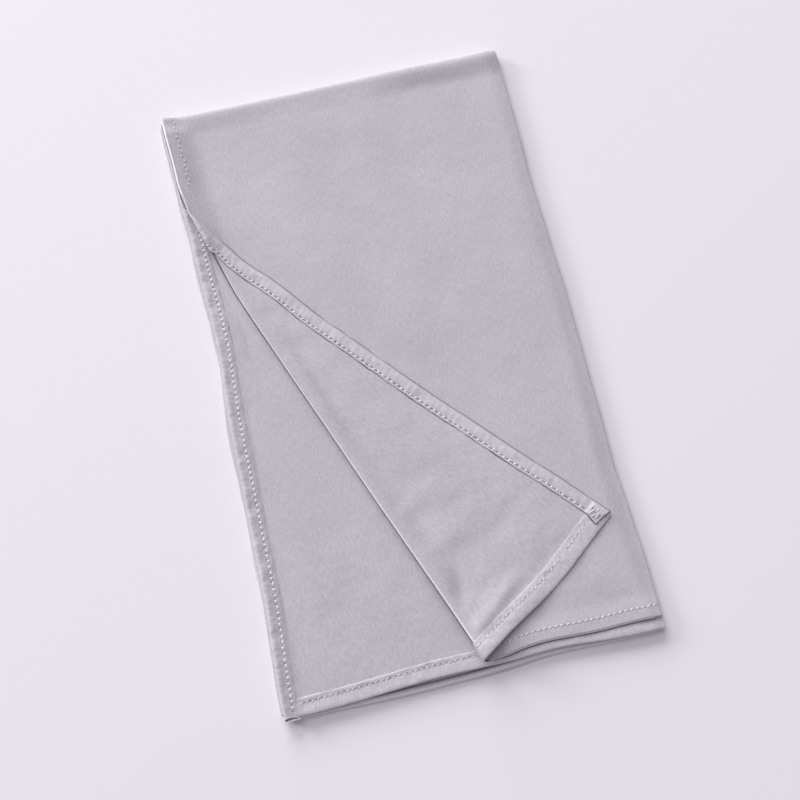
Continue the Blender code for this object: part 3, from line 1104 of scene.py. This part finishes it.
@dataclass
class Hem:
    """A turned hem, stitched down near its inner fold and puffed between the stitches and the edge.

    Its section starts in the shade beside the inner fold, climbs over the lip of that fold, dips
    at the stitches, crowns over the width and rounds under the leaf's edge.
    """

    leaf: Leaf
    side: Side
    kind: HemKind
    width: float
    stitch_in: float
    unevenness: float = 0.12
    wander: float = 0.16
    pitch: float = 4.15
    gather: float = 0.025
    flare: float = 0.0
    flare_run: float = 11.0
    open_end: float = 0.0
    open_floor: float = 0.35
    rides: float = 0.0
    rides_run: float = 12.5
    end_slant: float = 0.0
    end_slant_run: float = 16.0
    shifts: tuple[HemShift, ...] = ()
    gap_above: float = 0.0
    shade_below_from: float | None = None
    lit_columns: tuple[int, ...] = ()
    lit_above: float = 166.0
    seed: int = 1

    OPEN_FROM: ClassVar[float] = 0.08
    OPEN_TO: ClassVar[float] = 1.02
    OPEN_SHADE: ClassVar[float] = 0.8
    END_SHADE: ClassVar[float] = 0.35
    OUTER_COLUMNS: ClassVar[range] = range(10, 14)
    UNDER_COLUMNS: ClassVar[range] = range(14, 17)
    GAP_STATION: ClassVar[int] = 13
    GAP_OPENS: ClassVar[float] = 7.0
    DIM_BELOW_GAP: ClassVar[float] = 26.0
    SHADED: ClassVar[int] = 1
    LIT: ClassVar[int] = 2
    DIM: ClassVar[int] = 3

    def section(self) -> tuple[HemStation, ...]:
        """Lines of the hem from the shade beside it to under the leaf's edge.

        Returns:
            The stations, in the order in which they are meshed.
        """
        width, stitch = self.width, self.width - self.stitch_in
        shape = self.kind.value
        first_height = 0.375 if shape.shade_width else 0.29
        return (
            HemStation(width + max(shape.shade_width, shape.lip_slope + 0.3), first_height),
            HemStation(width + 0.02 + shape.lip_slope, 0.39),
            HemStation(width + 0.10 + shape.lip_slope * 0.4, shape.lip * 0.74, 0.4),
            HemStation(width - 0.18, shape.lip * 0.96, 0.8),
            HemStation(width - 0.60, shape.lip, 1.0),
            HemStation(stitch + 0.62, (shape.lip + shape.dip) / 2.0, 1.0),
            HemStation(stitch + 0.12, shape.dip, -1.0),
            HemStation(stitch - 0.32, shape.dip, -1.0),
            HemStation(stitch - 1.1, shape.inner_crown * 0.94, 0.8),
            HemStation(stitch * 0.72, shape.inner_crown, 1.0),
            HemStation(stitch * 0.48, shape.crown, 1.0),
            HemStation(stitch * 0.26, shape.outer_crown, 1.0),
            HemStation(0.75, shape.outer_crown * 0.92, 0.6),
            HemStation(0.10 - shape.bulge * 0.5, shape.outer_crown * 0.70, 0.3),
            HemStation(-0.12 - shape.bulge, shape.outer_crown * 0.34),
            HemStation(-0.18 - shape.bulge * 0.7, -0.14),
            HemStation(0.04, -0.46),
            HemStation(0.45, shape.skirt),
        )

    def is_open(self, share: float) -> bool:
        """Whether the free end stands open at a share of the hem's width."""
        return self.open_end > 0.0 and self.OPEN_FROM < share < self.OPEN_TO

    def open_reach(self, share: float) -> float:
        """How far the open end reaches in, at a share of the hem's width."""
        return self.open_end * math.sqrt(max(0.0, 1.0 - ((share - 0.55) / 0.5) ** 2))

    def surface(self, edge: EdgeLine, run: Grid) -> tuple[Grid, Grid]:
        """Points of the hem.

        Args:
            edge: gives, along the run, the edge's flat x and y and the flat direction inwards.
            run: places along the hem, whose last one is its free end.

        Returns:
            Rows of points along the hem, and their flat places.
        """
        x, y, in_x, in_y = edge(run)
        waves = Waves(self.seed, 5.0, 24.0, 20)
        bunched = np.cos(2.0 * math.pi * run / self.pitch)
        to_end = np.abs(run - run[-1])
        flared = self.flare * ease(1.0 - to_end / self.flare_run)
        points, flats = [], []
        for number, station in enumerate(self.section()):
            puff = self.unevenness * waves.at(run, 2.0 * number) * abs(station.swells)
            gather = self.gather * bunched * (1.0 if station.swells > 0.0 else 3.0) * (station.swells != 0.0)
            shift = self.wander * waves.at(run + 40.0, 3.0 * number) * (station.inward > 0.6)
            share = station.inward / self.width
            inward = station.inward + shift + flared * ease(np.array((share - 0.3) / 0.7))
            height = station.height * (1.0 + puff + gather)
            for moved in self.shifts:
                if moved.station == number:
                    shown = ease((run - moved.start) / moved.over)
                    inward = inward + moved.inward * shown
                    height = height + moved.height * shown
            if self.rides and station.height > 0.3:
                height = height + self.rides * ease((self.rides_run - to_end) / 3.0) * ease(to_end / 0.3)
            if self.is_open(share):
                reach = self.open_reach(share) + 0.05
                inside = ease((reach - to_end) / 0.5) * ease((to_end - 0.2) / 0.5)
                height = height + (self.open_floor - height) * inside
            flat_x = x + in_x * inward
            slanted = self.end_slant * share * ease(1.0 - to_end / self.end_slant_run)
            flat_y = y + in_y * inward + slanted
            points.append(self.leaf.off(flat_x, flat_y, height * self.side.value))
            flats.append(np.stack([flat_x, flat_y], axis=-1))
        return np.stack(points, axis=1), np.stack(flats, axis=1)


class StitchLook(NamedTuple):
    """How the threads and the painted-shade capsules at the needle holes of one row lie on the cloth, in
    millimetres and radians.
    """

    length: float
    thickness: float
    lean: float
    zigzag: float
    hole_length: float
    hole_width: float
    hole_lean: float
    hole_aside: float


class Stitching(Enum):
    """The stitch rows that show on the scarf."""

    HEM_WRONG_SIDE = StitchLook(2.4, 1.45, 0.10, 0.12, 1.30, 1.00, 0.0, -0.20)
    HEM_CHAIN = StitchLook(3.3, 1.55, 0.40, 0.12, 1.1, 0.85, 0.0, -0.85)
    HEM_FACE = StitchLook(3.1, 1.05, 0.52, 0.0, 1.7, 0.42, 0.52, -0.25)
    EDGE_FACE = StitchLook(2.4, 1.00, 0.70, 0.50, 1.1, 0.45, 0.40, -0.10)
    END_WRONG_SIDE = StitchLook(2.3, 0.70, 0.55, 0.20, 1.7, 0.42, 0.60, 0.15)
    BAR_TACK = StitchLook(4.4, 0.80, 1.20, 0.9, 1.1, 0.6, 0.0, 0.6)


@dataclass
class StitchRow:
    """A row of stitches: small capsules of thread with a dark capsule of painted shade, for a needle hole,
    between each two.
    """

    leaf: Leaf
    side: Side
    look: Stitching
    inward: float
    height: float
    pitch: float = 4.15
    jitter: float = 0.16
    side_jitter: float = 0.08
    lean_jitter: float = 0.14
    length_jitter: float = 0.10
    flatness: float = 0.30
    ahead: float = 0.2
    seed: int = 3

    def add_to(self, mesh: bmesh.types.BMesh, edge: EdgeLine, start: float, end: float,
               bundle: Bundle) -> None:
        """Add the row to a mesh.

        Args:
            mesh: the mesh that the stitches join.
            edge: gives, along the run, the edge's flat x and y and the flat direction inwards.
            start: place along the edge where the row starts.
            end: place where it ends.
            bundle: the bundle that places it.
        """
        draw = np.random.default_rng(self.seed)
        count = int(abs(end - start) / self.pitch)
        run = start + math.copysign(self.pitch, end - start) * (np.arange(count) + 0.5)
        ahead = math.copysign(self.ahead, end - start)
        self.lay(mesh, edge, run, ahead, bundle, draw, hole=False)
        self.lay(mesh, edge, run + math.copysign(self.pitch / 2.0, ahead), ahead, bundle, draw, hole=True)

    def lay(self, mesh: bmesh.types.BMesh, edge: EdgeLine, run: Grid, ahead: float, bundle: Bundle,
            draw: np.random.Generator, hole: bool) -> None:
        """Lay threads or, for needle holes, dark capsules of painted shade at places along the row.

        Args:
            mesh: the mesh that they join.
            edge: the edge that the row follows.
            run: their places along it.
            ahead: a short step along the row.
            bundle: the bundle that places them.
            draw: the row's random numbers.
            hole: whether the painted-shade capsules of needle holes are laid, and not threads.
        """
        look = self.look.value
        side_step = np.where(np.arange(len(run)) % 2, look.zigzag, -look.zigzag)
        inward = self.inward + side_step + (look.hole_aside if hole else 0.0)
        inward = inward + draw.normal(size=len(run)) * self.side_jitter
        x, y, in_x, in_y = edge(run)
        next_x, next_y, _, _ = edge(run + ahead)
        here = (x + in_x * inward, y + in_y * inward)
        there = (next_x + in_x * inward, next_y + in_y * inward)
        lift = self.height * self.side.value
        centre = self.leaf.off(*here, lift)
        heading = self.leaf.off(*there, lift) - centre
        heading = heading / np.maximum(np.linalg.norm(heading, axis=-1, keepdims=True), 1e-9)
        up = self.leaf.axes(*here)[2] * self.side.value
        across = np.cross(up, heading)
        length = look.hole_length if hole else look.length
        thickness = look.hole_width if hole else look.thickness
        for place in range(len(run)):
            lean = (look.hole_lean if hole else look.lean) + draw.normal() * self.lean_jitter
            ahead_way = heading[place] * math.cos(lean) + across[place] * math.sin(lean)
            side_way = np.cross(up[place], ahead_way)
            middle = bundle.place(centre[place] + ahead_way * draw.normal() * self.jitter)
            size = length * (1.0 + self.length_jitter * draw.normal()) / 2.0
            matrix = Matrix.Identity(4)
            reaches = ((ahead_way, size), (side_way, thickness / 2.0), (up[place], thickness * self.flatness))
            for axis, (way, reach) in enumerate(reaches):
                for part in range(3):
                    matrix[part][axis] = way[part] * reach * MM
            for part in range(3):
                matrix[part][3] = middle[part]
            made = bmesh.ops.create_uvsphere(mesh, u_segments=6, v_segments=4, radius=1.0, matrix=matrix)
            # needle holes get the dark finish: painted shade, not thread
            for vert in made["verts"]:
                for face in vert.link_faces:
                    face.material_index = int(hole)


@dataclass
class UnderLayers:
    """The six hidden leaves as one form, with the edge of each leaf rounded and parted.

    Each pair of leaves is joined by a soft fold on the right, and all four lowest leaves by one
    plain fold at the near end, which bows out past the leaves above it.
    """

    bundle: Bundle
    leaves: int = 6
    near_fold_leaves: int = 4
    leaf_shares: tuple[float, ...] = (0.0, 0.06, 0.2, 0.4, 0.6, 0.8, 0.94)
    rounding_depth: float = 0.9
    groove: float = 2.4
    groove_opens: Ramp = Ramp(0.9, 0.1)
    left_out: float = 1.5
    left_steps_in: float = 0.25
    left_bow: float = 0.8
    left_drift: float = 0.7
    right_in: float = 0.4
    right_steps_in: float = 0.5
    right_drift: float = 0.5
    fold_out: float = 1.0
    upper_in: float = 0.3
    upper_edge: float = 0.45
    upper_bow: float = -0.8
    near_drift: float = 0.35
    near_bow: float = 2.0
    near_dents: tuple[Bump, ...] = (Bump(62.0, 36.0, 3.2),)
    end_steps: int = 90
    side_steps: int = 110
    corner_steps: int = 6
    corner: float = 5.0
    far_inset: float = 5.0
    far_show: float = 6.6
    far_shows: Ramp = Ramp(40.0, 50.0)

    SHADED: ClassVar[int] = 1
    LIT: ClassVar[int] = 2

    def edge_inset(self, share: float) -> float:
        """Inset of a rounded edge at a share of its height."""
        across = min(1.0, abs(2.0 * share - 1.0))
        rounded = (1.0 - math.sqrt(1.0 - across * across)) * self.rounding_depth
        return rounded + self.groove * float(self.groove_opens.at(np.array(across)))

    def make(self, dresser: Dresser) -> bpy.types.Object:
        """Build the layers as rings drawn up one from another.

        Args:
            dresser: makes the piece.

        Returns:
            The piece.
        """
        leaf_height = self.bundle.core_height / self.leaves
        heights = [(leaf + share) * leaf_height for leaf in range(self.leaves) for share in self.leaf_shares]
        heights.append(self.leaves * leaf_height)
        rings = [self.ring(height, leaf_height) for height in heights]
        form = bmesh.new()
        place = form.verts.layers.int.new("place")
        pattern = form.loops.layers.uv.new("flat_cloth")
        made = bmesh.ops.create_circle(form, cap_ends=True, segments=len(rings[0]), radius=1.0)
        for number, vert in enumerate(made["verts"]):
            vert[place] = number
            vert.co = rings[0][number]
        cap = form.faces[:][0]
        for number, ring in enumerate(rings[1:]):
            drawn = bmesh.ops.extrude_face_region(form, geom=[cap])
            if number:
                bmesh.ops.delete(form, geom=[cap], context="FACES_ONLY")
            cap = next(item for item in drawn["geom"] if isinstance(item, bmesh.types.BMFace))
            for vert in cap.verts:
                vert.co = ring[vert[place]]
            self.shade(cap, number)
        bmesh.ops.recalc_face_normals(form, faces=form.faces)
        for face in form.faces:
            for loop in face.loops:
                spot = loop.vert.co
                loop[pattern].uv = (spot.x + spot.z, spot.y + spot.z)
        mesh = bpy.data.meshes.new("under_layers_cloth")
        form.to_mesh(mesh)
        form.free()
        piece = dresser.finish_piece("under_layers_cloth", mesh,
                                      ["jersey_face", "shaded_jersey", "lit_jersey"])
        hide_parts("hidden_layers")
        return piece

    def shade(self, cap: bmesh.types.BMFace, number: int) -> None:
        """Give a ring of faces painted light on the near fold, or painted deep shade where leaves part.

        Args:
            cap: the face that the ring was drawn up with.
            number: the ring's number, from the lowest.
        """
        rings = len(self.leaf_shares)
        low_fold = number < rings * self.near_fold_leaves
        if not low_fold and number % rings not in (0, rings - 1):
            return
        for side in (side for edge in cap.edges for side in edge.link_faces if side is not cap):
            side.normal_update()
            faces_end = abs(side.normal.x) < 0.5 * abs(side.normal.y)
            near = side.calc_center_median().y < 0.0
            finish = self.SHADED if not low_fold else self.LIT if near else 0
            side.material_index = finish if faces_end else 0

    def ring(self, height: float, leaf_height: float) -> list[Vector]:
        """Outline of the layers at a height.

        Args:
            height: the height in millimetres.
            leaf_height: height of one leaf.

        Returns:
            Points in the frame, from the near left corner over the right side and the far end.
        """
        bundle = self.bundle
        leaf = min(int(height / leaf_height + 1e-6), self.leaves - 1)
        share = height / leaf_height - leaf
        pair_share = height / (2.0 * leaf_height) - leaf // 2
        single = self.edge_inset(share)
        folded = self.edge_inset(pair_share)
        low_fold_height = self.near_fold_leaves * leaf_height
        left_waves = Waves(40 + leaf, 30.0, 170.0)
        side_waves = Waves(60 + leaf // 2, 40.0, 190.0)
        left = -self.left_out + self.left_steps_in * (self.leaves - 1 - leaf) + single
        right = self.right_in + self.right_steps_in * (leaf // 2) + folded
        if leaf < self.near_fold_leaves:
            across = 2.0 * height / low_fold_height - 1.0
            near = low_fold_height / 2.0 * (1.0 - math.sqrt(max(0.0, 1.0 - across * across))) - self.fold_out
            bow = self.near_bow
        else:
            near = self.upper_in + self.upper_edge * single
            bow = self.upper_bow
        near_y = bundle.near + near
        far_y = bundle.far - self.far_inset
        low = near_y + self.corner
        high = far_y - self.corner
        right_x = bundle.right - right
        ends = np.linspace(0.0, 1.0, self.end_steps + 1)
        sides = np.linspace(0.0, 1.0, self.side_steps + 1)
        left_near = float(bundle.left_edge(np.array(low))) + left
        left_far = float(bundle.left_edge(np.array(high))) + left
        spots = []
        near_x = left_near + self.corner + (right_x - left_near - 2.0 * self.corner) * ends
        swing = bow * np.sin(math.pi * ends) ** 0.8 - bumps_at(self.near_dents, near_x)
        swing = swing + self.near_drift * side_waves.at(near_x, 0.0) * np.sin(math.pi * ends)
        spots.extend(zip(near_x, near_y - swing))
        spots.extend(self.rounding(right_x - self.corner, low, -90.0))
        right_y = low + (high - low) * sides
        drift = self.right_drift * side_waves.at(0.0, right_y) * np.sin(math.pi * sides)
        spots.extend(zip(right_x - np.abs(drift), right_y))
        spots.extend(self.rounding(right_x - self.corner, high, 0.0))
        far_x = right_x - self.corner + (left_far + 2.0 * self.corner - right_x) * ends
        shown = self.far_show * self.far_shows.at(far_x) * np.sin(math.pi * ends) ** 0.2
        spots.extend(zip(far_x, far_y + shown))
        spots.extend(self.rounding(left_far + self.corner, high, 90.0))
        left_y = high + (low - high) * sides
        drift = self.left_drift * left_waves.at(0.0, left_y) * np.sin(math.pi * sides)
        bowed = self.left_bow * np.sin(math.pi * sides) ** 0.5
        spots.extend(zip(bundle.left_edge(left_y) + left + drift - bowed, left_y))
        spots.extend(self.rounding(left_near + self.corner, low, 180.0))
        points = np.array([(x, y, height) for x, y in spots])
        return [Vector(point) for point in bundle.place(points)]

    def rounding(self, x: float, y: float, start: float) -> list[tuple[float, float]]:
        """Points inside a rounded corner, between its two ends.

        Args:
            x: its centre, across the bundle.
            y: its centre, along it.
            start: bearing at which it starts, in degrees.

        Returns:
            The points, as x and y.
        """
        found = []
        for step in range(1, self.corner_steps):
            angle = math.radians(start + 90.0 * step / self.corner_steps)
            found.append((x + self.corner * math.cos(angle), y + self.corner * math.sin(angle)))
        return found


@dataclass
class Hems:
    """The four hems that show and their stitching."""

    bundle: Bundle
    front: FrontLeaf
    second: SecondLeaf
    long_stitch_in: float = 1.9
    short_stitch_in: float = 3.3
    far_start_below: float = 6.5
    gap_above: float = 146.0
    tucked_below: float = 126.0
    parts_over: float = 14.0
    long_steps: int = 640
    end_steps: int = 380

    def front_long_edge(self, run: Grid) -> tuple[Grid, Grid, Grid, Grid]:
        """Long edge of the front leaf, and the flat direction in from it."""
        return self.front.edge(run), run, np.ones(len(run)), np.zeros(len(run))

    def second_long_edge(self, run: Grid) -> tuple[Grid, Grid, Grid, Grid]:
        """Long edge of the second leaf, and the flat direction in from it."""
        return self.bundle.left_edge(run), run, np.ones(len(run)), np.zeros(len(run))

    def end_edge(self, near: float) -> EdgeLine:
        """Near edge of a leaf, and the flat direction in from it.

        Args:
            near: the edge's y.

        Returns:
            A function that gives them at places across the leaf.
        """

        def edge(run: Grid) -> tuple[Grid, Grid, Grid, Grid]:
            """Places on the near edge."""
            return run, np.full(len(run), near), np.zeros(len(run)), np.ones(len(run))

        return edge

    def make(self, dresser: Dresser) -> None:
        """Build the hems and their stitches.

        Args:
            dresser: makes the pieces.
        """
        bundle = self.bundle
        front_end = self.end_edge(bundle.front_near)
        second_end = self.end_edge(bundle.near)
        start = bundle.far - self.far_start_below
        front_long = Hem(self.front, Side.LOWER, HemKind.FLAP_LONG, bundle.long_hem, self.long_stitch_in,
                         flare=2.4, rides=1.15, end_slant=1.7, gap_above=self.gap_above,
                         shifts=self.long_shifts(), lit_columns=(14, 15), seed=11)
        crease = float(self.front.crease_x(np.array(bundle.front_near)))
        front_short = Hem(self.front, Side.LOWER, HemKind.FLAP_END, bundle.short_hem, self.short_stitch_in,
                          shade_below_from=crease, shifts=(HemShift(13, -0.95, 0.35, crease + 2.0, 8.0),),
                          seed=12)
        second_long = Hem(self.second, Side.UPPER, HemKind.LONG, bundle.long_hem, self.long_stitch_in,
                          open_end=2.3, seed=13)
        second_short = Hem(self.second, Side.UPPER, HemKind.END, bundle.short_hem, self.short_stitch_in,
                           shade_below_from=bundle.right, seed=14)
        long_run = spaced((start, 0), (bundle.front_near + 2.3, self.long_steps),
                          (bundle.front_near + 2.0, 2))
        self.strip(dresser, "front_long_hem_cloth", front_long, self.front_long_edge, long_run,
                   "front_long_hem")
        self.strip(dresser, "front_short_hem_cloth", front_short, front_end, self.front_short_run(),
                   "front_short_hem")
        second_run = spaced((start, 0), (bundle.near + 2.2, self.long_steps), (bundle.near - 1.8, 16))
        self.strip(dresser, "second_long_hem_cloth", second_long, self.second_long_edge, second_run,
                   "second_long_hem")
        across = spaced((-bundle.right + bundle.long_hem - 1.0, 0), (bundle.right - 0.3, self.end_steps))
        self.strip(dresser, "second_short_hem_cloth", second_short, second_end, across, "second_short_hem")
        self.sew(dresser)

    def long_shifts(self) -> tuple[HemShift, ...]:
        """Lines of the front long hem that stand out above the crease's start and tuck in below it.

        Returns:
            How each such line is moved.
        """
        above, below, over = self.gap_above, self.tucked_below, self.parts_over
        return (
            HemShift(13, -1.60, 0.50, above, over),
            HemShift(14, -0.30, 0.0, above, over),
            HemShift(14, 0.0, -0.40, below, -over),
            HemShift(15, -1.70, -0.36, below, -over),
            HemShift(16, 0.0, -0.45, below, -over),
            HemShift(17, 0.0, -0.45, below, -over),
        )

    def sew(self, dresser: Dresser) -> None:
        """Sew each hem that shows, on the side or sides that show.

        Args:
            dresser: makes the pieces.
        """
        bundle = self.bundle
        long_in = bundle.long_hem - self.long_stitch_in
        short_in = bundle.short_hem - self.short_stitch_in
        near = bundle.front_near
        front_end = self.end_edge(near)
        second_end = self.end_edge(bundle.near)
        crease = float(self.front.crease_x(np.array(near)))
        rows = {
            "front_long_hem_stitches": ((
                StitchRow(self.front, Side.LOWER, Stitching.HEM_WRONG_SIDE, long_in, 0.98, seed=31),
                self.front_long_edge, 164.0, near + 14.0), (
                StitchRow(self.front, Side.UPPER, Stitching.EDGE_FACE, long_in, 0.42, seed=32),
                self.front_long_edge, 234.5, 170.0), (
                StitchRow(self.front, Side.LOWER, Stitching.BAR_TACK, 4.4, 2.62, pitch=1.9, seed=37),
                self.front_long_edge, near + 13.0, near + 3.0), (
                StitchRow(self.front, Side.LOWER, Stitching.BAR_TACK, 8.0, 2.35, pitch=2.3, seed=38),
                self.front_long_edge, near + 12.0, near + 3.0)),
            "front_short_hem_stitches": ((
                StitchRow(self.front, Side.LOWER, Stitching.END_WRONG_SIDE, short_in, 0.92, seed=33),
                front_end, -bundle.right + 17.0, crease - 4.0), (
                StitchRow(self.front, Side.UPPER, Stitching.HEM_FACE, short_in, 0.42, seed=34),
                front_end, crease + 3.0, bundle.right + 1.0)),
            "second_long_hem_stitches": ((
                StitchRow(self.second, Side.UPPER, Stitching.HEM_CHAIN, long_in, 0.98, seed=35),
                self.second_long_edge, 196.0, bundle.near + 2.0),),
            "second_short_hem_stitches": ((
                StitchRow(self.second, Side.UPPER, Stitching.END_WRONG_SIDE, short_in, 0.98, seed=36),
                second_end, -bundle.right + 12.0, 40.0),),
        }
        for name, sewn in rows.items():
            thread = bmesh.new()
            for row, edge, start, end in sewn:
                row.add_to(thread, edge, start, end, bundle)
            mesh = bpy.data.meshes.new(name)
            thread.to_mesh(mesh)
            thread.free()
            dresser.finish_piece(name, mesh, ["pale_thread", "painted_hole_shade"])

    def front_short_run(self) -> Grid:
        """Flat places along the front leaf's near edge, closer together round the crease.

        Returns:
            The places, from left to right.
        """
        row = np.array(self.bundle.front_near)
        crease = float(self.front.crease_x(row))
        slant = math.radians(float(along(self.front.crease_rows, "slant", row)))
        arc = math.pi * float(along(self.front.crease_rows, "radius", row)) / math.cos(slant)
        start = float(self.front.edge(row)) + 0.4
        return spaced((start, 0), (crease - arc, 220), (crease, 24), (self.bundle.right - 6.0, 150))

    def strip(self, dresser: Dresser, name: str, hem: Hem, edge: EdgeLine, run: Grid, node: str) -> None:
        """Build one hem's cloth.

        Args:
            dresser: makes the piece.
            name: its name.
            hem: its form.
            edge: the edge that it follows.
            run: places along it.
            node: the CAD node that it stands for.
        """
        points, flat = hem.surface(edge, run)
        piece = dresser.sheet(name, points, flat,
                              ["jersey_hem", "shaded_jersey", "lit_jersey", "dim_jersey"], "jersey_hem", 0.0)
        self.shade(piece, hem, run)
        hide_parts(node)
        length = float(np.linalg.norm(np.diff(np.stack(edge(run)[:2], axis=-1), axis=0), axis=1).sum())

    def shade(self, piece: bpy.types.Object, hem: Hem, run: Grid) -> None:
        """Paint deep shade on the faces in creases, under edges and at open ends, light on a hem's lit strips
        and half shade on its dim strip.

        Args:
            piece: the hem's cloth, whose grid has its inner line first in each row.
            hem: its form.
            run: places along the hem.
        """
        across = len(hem.section()) - 1
        dim_below = hem.gap_above - hem.DIM_BELOW_GAP if hem.gap_above else -math.inf
        for number, polygon in enumerate(piece.data.polygons):
            row, column = len(run) - 2 - number // across, number % across
            if self.is_shaded(hem, column, float(run[row]), abs(float(run[row] - run[-1]))):
                polygon.material_index = hem.SHADED
            elif column in hem.lit_columns and run[row] > hem.lit_above:
                polygon.material_index = hem.LIT
            elif column == hem.GAP_STATION + 1 and run[row] < dim_below:
                polygon.material_index = hem.DIM

    def is_shaded(self, hem: Hem, column: int, place: float, to_end: float) -> bool:
        """Whether a strip of a hem gets painted deep shade.

        Args:
            hem: the hem.
            column: the strip's number, counted from the inner fold.
            place: its place along the hem.
            to_end: its distance from the hem's free end.

        Returns:
            True in the crease beside the inner fold, in the gap under an edge and at open ends.
        """
        share = hem.section()[column].inward / hem.width
        reach = hem.open_reach(share)
        if hem.is_open(share) and reach - hem.OPEN_SHADE < to_end < reach:
            return True
        if hem.rides and to_end < hem.END_SHADE:
            return True
        if hem.gap_above and place > hem.gap_above + hem.GAP_OPENS and column == hem.GAP_STATION:
            return True
        if hem.shade_below_from is not None:
            return column in (hem.UNDER_COLUMNS if place < hem.shade_below_from else hem.OUTER_COLUMNS)
        return hem.kind.value.shade_width > 0.0 and column == 0


@dataclass
class Studio:
    """Table, soft light and the camera of the photograph's view."""

    bundle: Bundle
    azimuth: float = -18.18
    elevation: float = 75.06
    roll: float = 4.95
    distance: float = 0.925
    focal_pixels: float = 1228.0
    frame_pixels: float = 800.0
    target_x: float = -0.0048
    target_y: float = -0.0277
    sensor: float = 36.0
    room_colour: str = "F4F3FA"
    room_light: float = 0.30
    lamp_colour: str = "FEFDFF"
    table_half: float = 3.0

    def make(self) -> None:
        """Set the table, the lights and the camera."""
        self.table()
        self.lights()
        self.camera()

    def table(self) -> None:
        """A pale table top under the scarf."""
        top = bmesh.new()
        bmesh.ops.create_grid(top, x_segments=4, y_segments=4, size=self.table_half)
        mesh = bpy.data.meshes.new("table_top")
        top.to_mesh(mesh)
        top.free()
        mesh.materials.append(TableFinish().build())
        table = bpy.data.objects.new("table_top", mesh)
        bpy.context.scene.collection.objects.link(table)

    def lights(self) -> None:
        """Two soft windows on the left and beyond the far end, one softbox above, an even pale room."""
        world = bpy.data.worlds.new("pale_room")
        bpy.context.scene.world = world
        world.use_nodes = True
        background = world.node_tree.nodes["Background"]
        background.inputs["Color"].default_value = linear(self.room_colour)
        background.inputs["Strength"].default_value = self.room_light
        self.area("window", azimuth=142.0, elevation=19.0, distance=7.0, size=1.95, power=212.0)
        self.area("far_window", azimuth=102.0, elevation=27.0, distance=8.0, size=5.2, power=492.0)
        self.area("overhead_softbox", azimuth=128.0, elevation=66.0, distance=7.0, size=3.6, power=110.0)
        scene = bpy.context.scene
        scene.view_settings.view_transform = "Standard"
        scene.view_settings.look = "None"

    def area(self, name: str, azimuth: float, elevation: float, distance: float, size: float,
             power: float) -> None:
        """Add a square area light that faces the scarf.

        Args:
            name: its name.
            azimuth: bearing of the light from +X towards +Y, in degrees.
            elevation: its height above the table, in degrees.
            distance: its distance in metres.
            size: its side in metres.
            power: its power in watts.
        """
        around, above = math.radians(azimuth), math.radians(elevation)
        level = math.cos(above) * distance
        spot = Vector((math.cos(around) * level, math.sin(around) * level, math.sin(above) * distance))
        light = bpy.data.lights.new(name, "AREA")
        light.shape = "SQUARE"
        light.size = size
        light.energy = power
        light.color = linear(self.lamp_colour)[:3]
        lamp = bpy.data.objects.new(name, light)
        lamp.location = spot
        lamp.rotation_mode = "QUATERNION"
        lamp.rotation_quaternion = (-spot).to_track_quat("-Z", "Y")
        bpy.context.scene.collection.objects.link(lamp)

    def camera(self) -> None:
        """Camera above the near end, turned as the photograph's."""
        angles = (self.azimuth, self.elevation, self.roll)
        azimuth, elevation, roll = (math.radians(angle) for angle in angles)
        back = Vector((math.sin(azimuth) * math.cos(elevation), -math.cos(azimuth) * math.cos(elevation),
                       math.sin(elevation)))
        level = Vector((math.cos(azimuth), math.sin(azimuth), 0.0))
        up = back.cross(level)
        right = level * math.cos(roll) + up * math.sin(roll)
        top = up * math.cos(roll) - level * math.sin(roll)
        data = bpy.data.cameras.new("camera")
        data.sensor_width = self.sensor
        data.lens = self.focal_pixels / self.frame_pixels * self.sensor
        camera = bpy.data.objects.new("camera", data)
        spot = Vector((self.target_x, self.target_y + self.bundle.middle_y * MM, 0.0)) + back * self.distance
        turn = Matrix((right, top, back)).transposed().to_4x4()
        camera.matrix_world = Matrix.Translation(spot) @ turn
        bpy.context.scene.collection.objects.link(camera)
        bpy.context.scene.camera = camera


def main() -> None:
    """Build the folded scarf, light it and report each piece."""
    logging.basicConfig(level=logging.INFO, format="%(message)s")
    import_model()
    bundle = Bundle.from_frame()
    LOG.info("bundle %.1f by %.1f mm", 2.0 * bundle.right, 2.0 * bundle.far)
    finishes = {
        "jersey_face": JerseyFinish("plain_jersey_face", "D2CFD6", "B4B1B9").build(),
        "jersey_wrong_side": JerseyFinish("plain_jersey_wrong_side", "D2CFD5", "B4B1B8",
                                          streak_mm=1.8).build(),
        "jersey_hem": JerseyFinish("puffed_jersey_hem", "D8D5DB", "B9B6BD").build(),
        # Painted shade: a much darker copy of the jersey where the crease's foot, gaps under edges, open hem
        # ends and the grooves between the hidden leaves lie in shade.
        "shaded_jersey": JerseyFinish("jersey_shaded_by_fold", "77747E", "66636D", sheen=0.0).build(),
        # Painted half shade: a darker copy of the jersey beside the outer edge of the turned-back long hem.
        "dim_jersey": JerseyFinish("jersey_half_shaded_by_fold", "BBB8BF", "A5A2A9", sheen=0.0).build(),
        # Painted light: a lighter copy of the jersey on the rim beside the crease, the rim of the turned-back
        # long hem and the near fold of the hidden leaves.
        "lit_jersey": JerseyFinish("jersey_painted_highlight", "F0EDF2", "DDDAE0").build(),
        "pale_thread": ThreadFinish("pale_sewing_thread", "E6E3EB").build(),
        # Painted shade: the dark capsules at the needle holes stand in for the shade inside each hole.
        "painted_hole_shade": ThreadFinish("shaded_needle_hole", "75717D", 0.9).build(),
    }
    dresser = Dresser(bundle, finishes)
    front = FrontLeaf(bundle)
    second = SecondLeaf(bundle)
    front_piece = FrontCloth(front).make(dresser)
    second_piece = SecondCloth(second).make(dresser)
    UnderLayers(bundle).make(dresser)
    Hems(bundle, front, second).make(dresser)
    Studio(bundle).make()


if __name__ == "__main__":
    main()
